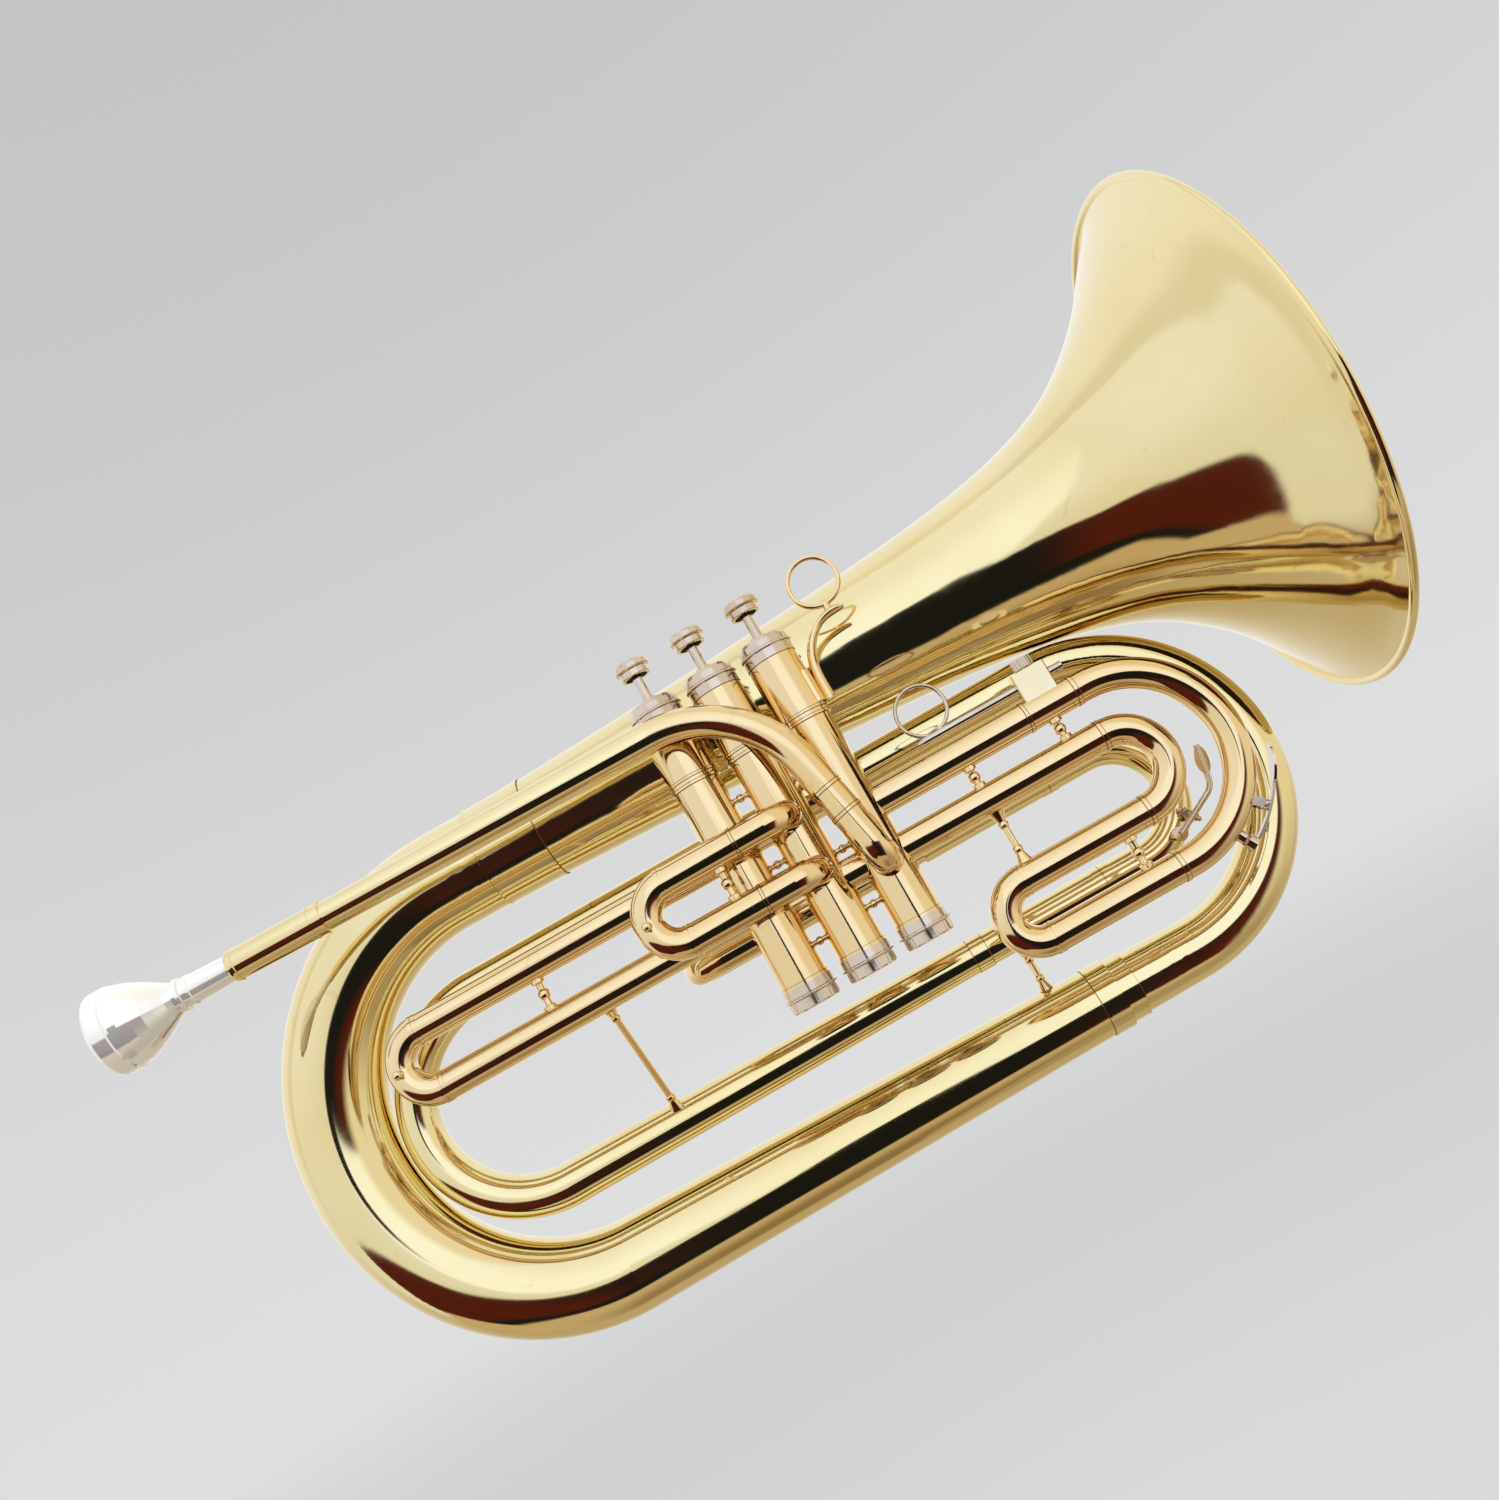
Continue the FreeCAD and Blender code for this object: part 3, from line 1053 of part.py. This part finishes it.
def export_all():
    os.makedirs("parts", exist_ok=True)
    for name, shape in SHAPES.items():
        shape.exportStep("parts/%s.step" % name)
        solids = len(shape.Solids)
        print("%-24s solids %d volume %.1f valid %s" % (name, solids, shape.Volume, shape.isValid()))
    print(len(SHAPES), "nodes")


build_all()
export_all()
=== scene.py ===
import math

import bpy
from mathutils import Matrix, Vector


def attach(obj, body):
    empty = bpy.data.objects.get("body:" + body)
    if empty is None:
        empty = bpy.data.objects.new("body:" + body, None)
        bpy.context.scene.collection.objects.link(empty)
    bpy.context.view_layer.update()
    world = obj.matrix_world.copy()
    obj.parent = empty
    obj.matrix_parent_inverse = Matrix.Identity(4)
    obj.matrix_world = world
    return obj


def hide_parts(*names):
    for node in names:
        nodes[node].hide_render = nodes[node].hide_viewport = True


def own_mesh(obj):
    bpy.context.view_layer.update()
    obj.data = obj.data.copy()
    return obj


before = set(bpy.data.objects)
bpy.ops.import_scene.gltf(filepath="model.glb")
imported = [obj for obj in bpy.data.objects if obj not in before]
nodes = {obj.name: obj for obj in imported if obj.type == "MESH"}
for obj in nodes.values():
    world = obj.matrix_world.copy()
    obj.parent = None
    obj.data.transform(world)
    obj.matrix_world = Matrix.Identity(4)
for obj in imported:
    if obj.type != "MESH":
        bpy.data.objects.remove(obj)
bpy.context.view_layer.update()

# ---------------------------------------------------------------- places, in mm
MM = 0.001
BACK_Y = 44.0
FRONT_Y = -20.0
BELL_Z = 55.0
BRANCH_Z = -135.4
LOWER_Z = -91.6
TUNING_TOP_Z = -38.2
SECOND_ROWS_Z = (-1.9, -28.1)
THIRD_TOP_Z = -14.5
THIRD_ROWS_Z = (THIRD_TOP_Z, -36.6, -72.6, -99.1)
TUBE_R = 6.75
SLEEVE_R = 7.75
BEND_TUBE_R = 7.0
VALVE_PITCH = 27.1
BEND_END_X, BEND_END_Z = 25.21, -28.89
BEND_RUN_X, BEND_RUN_Z = 0.1994, -0.9799

# ---------------------------------------------------------------- camera
CAMERA_PLACE = Vector((0.0, -0.5905, -0.0618))
PITCH = math.radians(9.0)          # the camera looks this much upward
ROLL = math.radians(29.5)           # and is turned this much about its own axis
LENS = 33.62


def make_camera():
    right = Vector((1.0, 0.0, 0.0))
    forward = Vector((0.0, math.cos(PITCH), math.sin(PITCH)))
    up = Vector((0.0, -math.sin(PITCH), math.cos(PITCH)))
    image_right = right * math.cos(ROLL) - up * math.sin(ROLL)
    image_up = right * math.sin(ROLL) + up * math.cos(ROLL)
    turn = Matrix((image_right, image_up, -forward)).transposed()
    data = bpy.data.cameras.new("camera")
    data.sensor_width = 36.0
    data.lens = LENS
    data.clip_start = 0.01
    data.clip_end = 100.0
    camera = bpy.data.objects.new("camera", data)
    camera.matrix_world = Matrix.Translation(CAMERA_PLACE) @ turn.to_4x4()
    bpy.context.scene.collection.objects.link(camera)
    bpy.context.scene.camera = camera


# ---------------------------------------------------------------- node graph helper
class Graph:
    """Thin wrapper that keeps shader graphs readable."""

    def __init__(self, tree):
        self.tree = tree
        tree.nodes.clear()

    def add(self, kind, **settings):
        node = self.tree.nodes.new(kind)
        for key, value in settings.items():
            setattr(node, key, value)
        return node

    def feed(self, socket, value):
        if isinstance(value, bpy.types.NodeSocket):
            self.tree.links.new(value, socket)
        elif value is not None:
            socket.default_value = value

    def math(self, operation, a, b=None):
        node = self.add("ShaderNodeMath", operation=operation)
        for socket, value in zip(node.inputs, (a, b)):
            self.feed(socket, value)
        return node.outputs[0]

    def smooth(self, value, low, high, out_low=0.0, out_high=1.0):
        """Smooth step from out_low, where value is at low, to out_high, where it is at high."""
        node = self.add("ShaderNodeMapRange", interpolation_type="SMOOTHSTEP")
        for socket, v in zip(node.inputs, (value, low, high, out_low, out_high)):
            self.feed(socket, v)
        return node.outputs[0]

    def mix(self, factor, a, b):
        node = self.add("ShaderNodeMix", data_type="RGBA")
        self.feed(node.inputs[0], factor)
        self.feed(node.inputs[6], a)
        self.feed(node.inputs[7], b)
        return node.outputs[2]

    def noise(self, vector, scale, detail=2.0, roughness=0.5, distortion=0.0):
        node = self.add("ShaderNodeTexNoise")
        self.feed(node.inputs["Vector"], vector)
        node.inputs["Scale"].default_value = scale
        node.inputs["Detail"].default_value = detail
        node.inputs["Roughness"].default_value = roughness
        node.inputs["Distortion"].default_value = distortion
        return node.outputs[0]

    def stretch(self, vector, scale, turn=(0.0, 0.0, 0.0)):
        node = self.add("ShaderNodeMapping")
        self.feed(node.inputs["Vector"], vector)
        node.inputs["Scale"].default_value = scale
        node.inputs["Rotation"].default_value = turn
        return node.outputs[0]


def rgb(r, g, b):
    """Screen colour (0-255) to a linear shader colour."""
    def linear(v):
        v /= 255.0
        return v / 12.92 if v <= 0.04045 else ((v + 0.055) / 1.055) ** 2.4
    return (linear(r), linear(g), linear(b), 1.0)


def grey(v):
    return (v, v, v, 1.0)


# ---------------------------------------------------------------- studio
BLACK = grey(0.012)
DARK_RED = rgb(84, 34, 24)
FLOOR_DEEP, FLOOR_NEAR = rgb(150, 128, 96), rgb(205, 184, 152)
LAMP_LOW, LAMP_TOP = (1.12, 1.2, 1.36, 1.0), (1.0, 1.03, 1.08, 1.0)
PANEL_LOW, PANEL_TOP = (0.86, 0.87, 0.84, 1.0), (0.97, 1.0, 1.1, 1.0)
PANEL_END = (0.84, 0.84, 0.8, 1.0)
RIGHT_LOW, RIGHT_TOP = rgb(176, 158, 128), rgb(246, 240, 226)
BEHIND_LOW, BEHIND_TOP = rgb(196, 180, 150), grey(0.98)
BACKDROP_LOW, BACKDROP_TOP = grey(0.74), grey(0.56)
DEGREES = 180.0 / math.pi


def lamp_light(g, side, height):
    """Light overhead, with a paler panel on the left beyond a slanted line."""
    lamp = g.mix(g.smooth(height, 20.0, 70.0), LAMP_LOW, LAMP_TOP)
    panel = g.mix(g.smooth(height, -10.0, 25.0), PANEL_LOW, PANEL_TOP)
    panel = g.mix(g.smooth(side, -85.0, -90.0), panel, PANEL_END)
    slant = g.math("ADD", side, g.math("MULTIPLY", height, 0.6))
    return g.mix(g.smooth(slant, -3.0, -7.5), lamp, panel)


def dark_band(g, side, spread, height):
    """The dark shape below the horizon: black, with red towards its ends."""
    reddish = g.math("MAXIMUM", g.smooth(height, -43.0, -37.0), g.smooth(side, -6.0, 0.0))
    return g.mix(g.math("MULTIPLY", g.smooth(spread, 6.0, 26.0), reddish), BLACK, DARK_RED)


def horizon(g, side, spread):
    """Height of the dark shape's upper edge: a hump in the middle, falling to the left."""
    edge = g.math("ADD", g.smooth(spread, 1.5, 6.5, 9.0, 0.0), -3.0)
    edge = g.math("ADD", edge, g.smooth(side, -6.0, -26.0, 0.0, -8.0))
    return g.math("ADD", edge, g.smooth(side, -70.0, -96.0, 0.0, -22.0))


def make_world():
    """The studio's light by direction, in degrees: side is 0 towards -Y and grows to +X, height is up."""
    world = bpy.data.worlds.new("studio")
    bpy.context.scene.world = world
    world.use_nodes = True
    g = Graph(world.node_tree)
    coords = g.add("ShaderNodeTexCoord").outputs["Generated"]
    split = g.add("ShaderNodeSeparateXYZ")
    g.feed(split.inputs[0], coords)
    x, y, z = split.outputs
    height = g.math("MULTIPLY", g.math("ARCSINE", z), DEGREES)
    side = g.math("MULTIPLY", g.math("ARCTAN2", x, g.math("MULTIPLY", y, -1.0)), DEGREES)
    spread = g.math("ABSOLUTE", side)

    bottom = g.math("ADD", g.smooth(side, -12.0, -45.0, -54.0, -47.0), g.smooth(side, -70.0, -90.0, 0.0, 15.0))
    under = g.smooth(g.math("SUBTRACT", height, bottom), 2.0, -2.0)
    past_end = g.smooth(side, -88.5, -91.5)
    floor = g.mix(g.smooth(height, -84.0, -56.0), FLOOR_DEEP, FLOOR_NEAR)
    ahead = g.mix(g.math("MAXIMUM", under, past_end), dark_band(g, side, spread, height), floor)
    above = g.smooth(g.math("SUBTRACT", height, horizon(g, side, spread)), -1.4, 1.4)
    ahead = g.mix(above, ahead, lamp_light(g, side, height))
    right = g.mix(g.smooth(height, -60.0, -10.0), RIGHT_LOW, RIGHT_TOP)
    ahead = g.mix(g.smooth(side, 26.0, 44.0), ahead, right)
    behind = g.mix(g.smooth(height, -45.0, 12.0), BEHIND_LOW, BEHIND_TOP)
    light = g.mix(g.smooth(y, 0.28, 0.08), behind, ahead)

    backdrop = g.mix(g.smooth(height, -10.0, 45.0), BACKDROP_LOW, BACKDROP_TOP)
    path = g.add("ShaderNodeLightPath")
    surface = g.add("ShaderNodeBackground")
    g.feed(surface.inputs["Color"], g.mix(path.outputs["Is Camera Ray"], light, backdrop))
    out = g.add("ShaderNodeOutputWorld")
    g.feed(out.inputs["Surface"], surface.outputs[0])


def area_light(name, place, size, power):
    """Soft disk light aimed at the origin; polished metal doesn't mirror it."""
    data = bpy.data.lights.new(name, "AREA")
    data.shape = "DISK"
    data.size = size
    data.energy = power
    light = bpy.data.objects.new(name, data)
    light.location = place
    light.rotation_mode = "QUATERNION"
    light.rotation_quaternion = (-Vector(place)).to_track_quat("-Z", "Y")
    light.visible_glossy = False
    bpy.context.scene.collection.objects.link(light)


def make_floor():
    """Wide grey disk that fades out before its edge."""
    radius, height, corners = 9.0, -0.9, 96
    ring = []
    for i in range(corners):
        a = 2 * math.pi * i / corners
        ring.append((radius * math.cos(a), radius * math.sin(a), height))
    mesh = bpy.data.meshes.new("floor")
    mesh.from_pydata(ring, [], [tuple(range(corners))])
    floor = bpy.data.objects.new("floor", mesh)
    bpy.context.scene.collection.objects.link(floor)
    material = bpy.data.materials.new("floor")
    material.use_nodes = True
    g = Graph(material.node_tree)
    coords = g.add("ShaderNodeTexCoord").outputs["Object"]
    length = g.add("ShaderNodeVectorMath", operation="LENGTH")
    g.feed(length.inputs[0], coords)
    fade = g.smooth(length.outputs["Value"], 2.0, 8.5)
    diffuse = g.add("ShaderNodeBsdfDiffuse")
    diffuse.inputs["Color"].default_value = grey(0.6)
    clear = g.add("ShaderNodeBsdfTransparent")
    blend = g.add("ShaderNodeMixShader")
    g.feed(blend.inputs[0], fade)
    g.feed(blend.inputs[1], diffuse.outputs[0])
    g.feed(blend.inputs[2], clear.outputs[0])
    out = g.add("ShaderNodeOutputMaterial")
    g.feed(out.inputs["Surface"], blend.outputs[0])
    mesh.materials.append(material)
    floor.visible_glossy = False


# ---------------------------------------------------------------- materials
def polished_metal(name, base, second, stain, rough=0.07, coat=0.35, scratch=0.02, tint_scale=9.0,
                   metallic=1.0):
    """Polished or lacquered metal: slow colour drift, small stains, haze and hair-fine wear."""
    material = bpy.data.materials.new(name)
    material.use_nodes = True
    g = Graph(material.node_tree)
    coords = g.add("ShaderNodeTexCoord").outputs["Object"]
    shader = g.add("ShaderNodeBsdfPrincipled")

    drift = g.smooth(g.noise(coords, tint_scale, 3.0, 0.55), 0.34, 0.68)
    colour = g.mix(drift, base, second)
    spots = g.smooth(g.noise(coords, 95.0, 4.0, 0.62, 0.6), 0.64, 0.80)
    colour = g.mix(g.math("MULTIPLY", spots, 0.30), colour, stain)

    smears = g.smooth(g.noise(g.stretch(coords, (22.0, 40.0, 30.0), (0.3, 0.1, 0.7)), 1.6, 4.0, 0.6),
                      0.45, 0.80)
    grain = g.noise(g.stretch(coords, (240.0, 900.0, 900.0)), 1.0, 3.0, 0.6)
    roughness = g.math("ADD", g.math("MULTIPLY", smears, 0.05), rough)
    roughness = g.math("ADD", roughness, g.math("MULTIPLY", spots, 0.05))

    hair = g.smooth(grain, 0.35, 0.75)
    wave = g.noise(coords, 26.0, 1.0, 0.4)
    height = g.math("ADD", g.math("MULTIPLY", hair, scratch), wave)
    bump = g.add("ShaderNodeBump")
    bump.inputs["Strength"].default_value = 0.06
    bump.inputs["Distance"].default_value = 0.0006
    g.feed(bump.inputs["Height"], height)

    shader.inputs["Metallic"].default_value = metallic
    shader.inputs["Coat Weight"].default_value = coat
    shader.inputs["Coat Roughness"].default_value = 0.04
    shader.inputs["Coat IOR"].default_value = 1.5
    g.feed(shader.inputs["Base Color"], colour)
    g.feed(shader.inputs["Roughness"], roughness)
    g.feed(shader.inputs["Normal"], bump.outputs[0])
    out = g.add("ShaderNodeOutputMaterial")
    g.feed(out.inputs["Surface"], shader.outputs[0])
    return material


def soft_material(name, base, second, scale, bump_depth, rough=0.9, sheen=0.0):
    """Felt, cork or moulded nylon: mottled colour over a fibrous or pitted surface."""
    material = bpy.data.materials.new(name)
    material.use_nodes = True
    g = Graph(material.node_tree)
    coords = g.add("ShaderNodeTexCoord").outputs["Object"]
    shader = g.add("ShaderNodeBsdfPrincipled")
    fine = g.noise(coords, scale, 6.0, 0.7)
    broad = g.noise(coords, scale * 0.22, 3.0, 0.6)
    g.feed(shader.inputs["Base Color"], g.mix(g.smooth(g.math("ADD", fine, broad), 0.7, 1.3), base, second))
    g.feed(shader.inputs["Roughness"], g.math("ADD", g.math("MULTIPLY", fine, 0.15), rough - 0.08))
    bump = g.add("ShaderNodeBump")
    bump.inputs["Strength"].default_value = 0.5
    bump.inputs["Distance"].default_value = bump_depth
    g.feed(bump.inputs["Height"], fine)
    g.feed(shader.inputs["Normal"], bump.outputs[0])
    shader.inputs["Sheen Weight"].default_value = sheen
    out = g.add("ShaderNodeOutputMaterial")
    g.feed(out.inputs["Surface"], shader.outputs[0])
    return material


PALE_BRASS = polished_metal("pale_brass", rgb(240, 225, 175), rgb(236, 217, 160), rgb(198, 152, 88))
WARM_BRASS = polished_metal("warm_brass", rgb(241, 217, 170), rgb(238, 209, 156), rgb(196, 142, 86),
                            rough=0.08)
NICKEL = polished_metal("nickel", rgb(222, 209, 193), rgb(208, 189, 168), rgb(168, 134, 110),
                        rough=0.12, coat=0.1, tint_scale=30.0)
LACQUERED_NICKEL = polished_metal("lacquered_nickel", rgb(240, 227, 190), rgb(230, 214, 174),
                                  rgb(180, 146, 110), rough=0.1, tint_scale=30.0)
SILVER = polished_metal("silver", rgb(244, 243, 240), rgb(236, 235, 230), rgb(196, 190, 178),
                        rough=0.08, coat=0.0, tint_scale=24.0, metallic=0.66)
MONEL = polished_metal("monel", rgb(190, 188, 184), rgb(176, 174, 168), rgb(120, 116, 108),
                       rough=0.22, coat=0.0, tint_scale=24.0, scratch=0.3)
STEEL = polished_metal("spring_steel", rgb(176, 178, 182), rgb(150, 152, 158), rgb(96, 86, 78),
                       rough=0.2, coat=0.0, tint_scale=60.0)
SEAM = polished_metal("solder_line", rgb(158, 112, 58), rgb(128, 86, 44), rgb(82, 54, 32),
                      rough=0.3, coat=0.1, tint_scale=60.0)
FELT = soft_material("felt", rgb(58, 92, 62), rgb(38, 66, 44), 2600.0, 0.0003, 0.95, 0.4)
CORK = soft_material("cork", rgb(196, 150, 102), rgb(142, 96, 58), 900.0, 0.0002, 0.9)
NYLON = soft_material("nylon", rgb(228, 224, 212), rgb(212, 206, 190), 500.0, 0.00005, 0.55)

def one_per_valve(stem):
    return tuple("%s_%d" % (stem, n) for n in (1, 2, 3))


# Every other node is in warm brass.
LOOKS = (
    (PALE_BRASS, ("bell", "big_bow", "bottom_branch", "right_bow", "upper_back_tube", "inner_bow",
                  "lower_back_tube", "ferrules", "tuning_sleeves", "tuning_slide", "leadpipe",
                  "mouthpiece_receiver")),
    (NICKEL, one_per_valve("stem_button") + ("top_caps", "bottom_caps", "ring_rod", "thumb_screw",
                                             "tuning_key_lever", "third_key_lever",
                                             "tuning_key_saddle", "third_key_saddle")),
    (LACQUERED_NICKEL, ("rod_block",)),
    (SILVER, ("mouthpiece",)),
    (MONEL, one_per_valve("piston")),
    (STEEL, one_per_valve("valve_spring") + ("tuning_key_spring", "third_key_spring")),
    (FELT, one_per_valve("valve_felts")),
    (CORK, ("tuning_key_cork", "third_key_cork")),
    (NYLON, ("valve_guides",)),
)


def dress_nodes():
    chosen = {name: material for material, names in LOOKS for name in names}
    for name, obj in nodes.items():
        material = chosen.get(name, WARM_BRASS)
        if not obj.material_slots:
            obj.data.materials.append(material)
        for slot in obj.material_slots:
            slot.material = material


# ---------------------------------------------------------------- fine pieces
def turned(name, section, centre, axis, material, steps=96, teeth=0, depth=0.0):
    """Turn a closed (radius, along) section, in mm, about an axis of the horn; teeth flute its outer edge."""
    axis = Vector(axis).normalized()
    side = axis.orthogonal().normalized()
    other = axis.cross(side)
    centre = Vector(centre)
    inside = min(r for r, _ in section)
    outside = max(r for r, _ in section)
    verts = []
    for i in range(steps):
        a = 2.0 * math.pi * i / steps
        out = side * math.cos(a) + other * math.sin(a)
        flute = depth * (0.5 - 0.5 * math.cos(a * teeth)) if teeth else 0.0
        for r, along in section:
            share = (r - inside) / (outside - inside)
            verts.append((centre + out * (r - flute * share) + axis * along) * MM)
    count = len(section)
    faces = []
    for i in range(steps):
        j = (i + 1) % steps
        for k in range(count):
            m = (k + 1) % count
            faces.append((i * count + k, j * count + k, j * count + m, i * count + m))
    mesh = bpy.data.meshes.new(name)
    mesh.from_pydata([tuple(v) for v in verts], [], faces)
    mesh.update()
    mesh.polygons.foreach_set("use_smooth", [True] * len(mesh.polygons))
    mesh.materials.append(material)
    piece = bpy.data.objects.new(name, mesh)
    bpy.context.scene.collection.objects.link(piece)
    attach(piece, "horn")
    return piece


def round_section(radius, wire, count=10):
    """Section of a thin ring: a small circle standing at a radius."""
    return [(radius + wire * math.cos(2.0 * math.pi * i / count), wire * math.sin(2.0 * math.pi * i / count))
            for i in range(count)]


def make_seams():
    """Fine dark solder lines where tubes, sleeves, bands and caps meet."""
    x_seams = [(-129.1, BACK_Y, BELL_Z, 24.0), (-99.9, BACK_Y, BELL_Z, 24.7),
               (77.9, BACK_Y, BRANCH_Z, 15.65), (96.1, BACK_Y, BRANCH_Z, 13.95),
               (40.9, BACK_Y, LOWER_Z, SLEEVE_R), (48.1, BACK_Y, LOWER_Z, SLEEVE_R),
               (108.15, BACK_Y, LOWER_Z, SLEEVE_R), (108.15, BACK_Y, TUNING_TOP_Z, SLEEVE_R),
               (107.4, 0.0, THIRD_TOP_Z, TUBE_R), (108.8, 0.0, THIRD_TOP_Z, TUBE_R)]
    x_seams += [(x, FRONT_Y, z, TUBE_R) for z in SECOND_ROWS_Z for x in (-24.8, -23.6)]
    x_seams += [(x, 0.0, z, TUBE_R) for z in THIRD_ROWS_Z for x in (130.3, 132.1)]
    for i, (x, y, z, r) in enumerate(x_seams):
        turned("seam_x_%02d" % i, round_section(r + 0.05, 0.22), (x, y, z), (1, 0, 0), SEAM)
    for back in (15.1, 16.7, 27.6, 29.2):
        place = (BEND_END_X - BEND_RUN_X * back, FRONT_Y, BEND_END_Z - BEND_RUN_Z * back)
        turned("seam_bend_%02d" % back, round_section(BEND_TUBE_R + 0.05, 0.2), place,
               (BEND_RUN_X, 0, BEND_RUN_Z), SEAM)
    casing_seams = ((-64.0, 10.75), (29.4, 10.75), (30.6, 11.25), (32.4, 11.25), (33.5, 11.25), (60.35, 11.3))
    for n in range(3):
        x = (n - 1) * VALVE_PITCH
        for i, (z, r) in enumerate(casing_seams):
            turned("seam_valve_%d_%d" % (n + 1, i), round_section(r, 0.2), (x, 0.0, z), (0, 0, 1), SEAM)


def make_knurls():
    """Fluted grip bands on the screwed caps."""
    band = [(11.6, -0.42), (11.98, -0.38), (12.03, -0.25), (12.03, 0.25), (11.98, 0.38), (11.6, 0.42)]
    for n in range(3):
        x = (n - 1) * VALVE_PITCH
        for end, z in (("top", 65.5), ("bottom", -69.7)):
            turned("grip_%s_%d" % (end, n + 1), band, (x, 0.0, z), (0, 0, 1), NICKEL, steps=480,
                   teeth=80, depth=0.16)


def make_valve_springs():
    """Springs that stand on the guides: own copies of the spring nodes' meshes, with the nodes themselves
    hidden.
    """
    for n in range(3):
        node = "valve_spring_%d" % (n + 1)
        piece = bpy.data.objects.new("coil_spring_%d" % (n + 1), nodes[node].data.copy())
        bpy.context.scene.collection.objects.link(piece)
        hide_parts(node)
        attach(piece, "horn")
        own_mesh(piece)


make_camera()
make_world()
make_floor()
dress_nodes()
make_seams()
make_knurls()
make_valve_springs()
area_light("key", (-0.8, -1.4, 1.6), 1.4, 30.0)
area_light("fill", (1.6, -0.6, 0.9), 1.2, 14.0)
bpy.context.scene.view_settings.view_transform = "Standard"
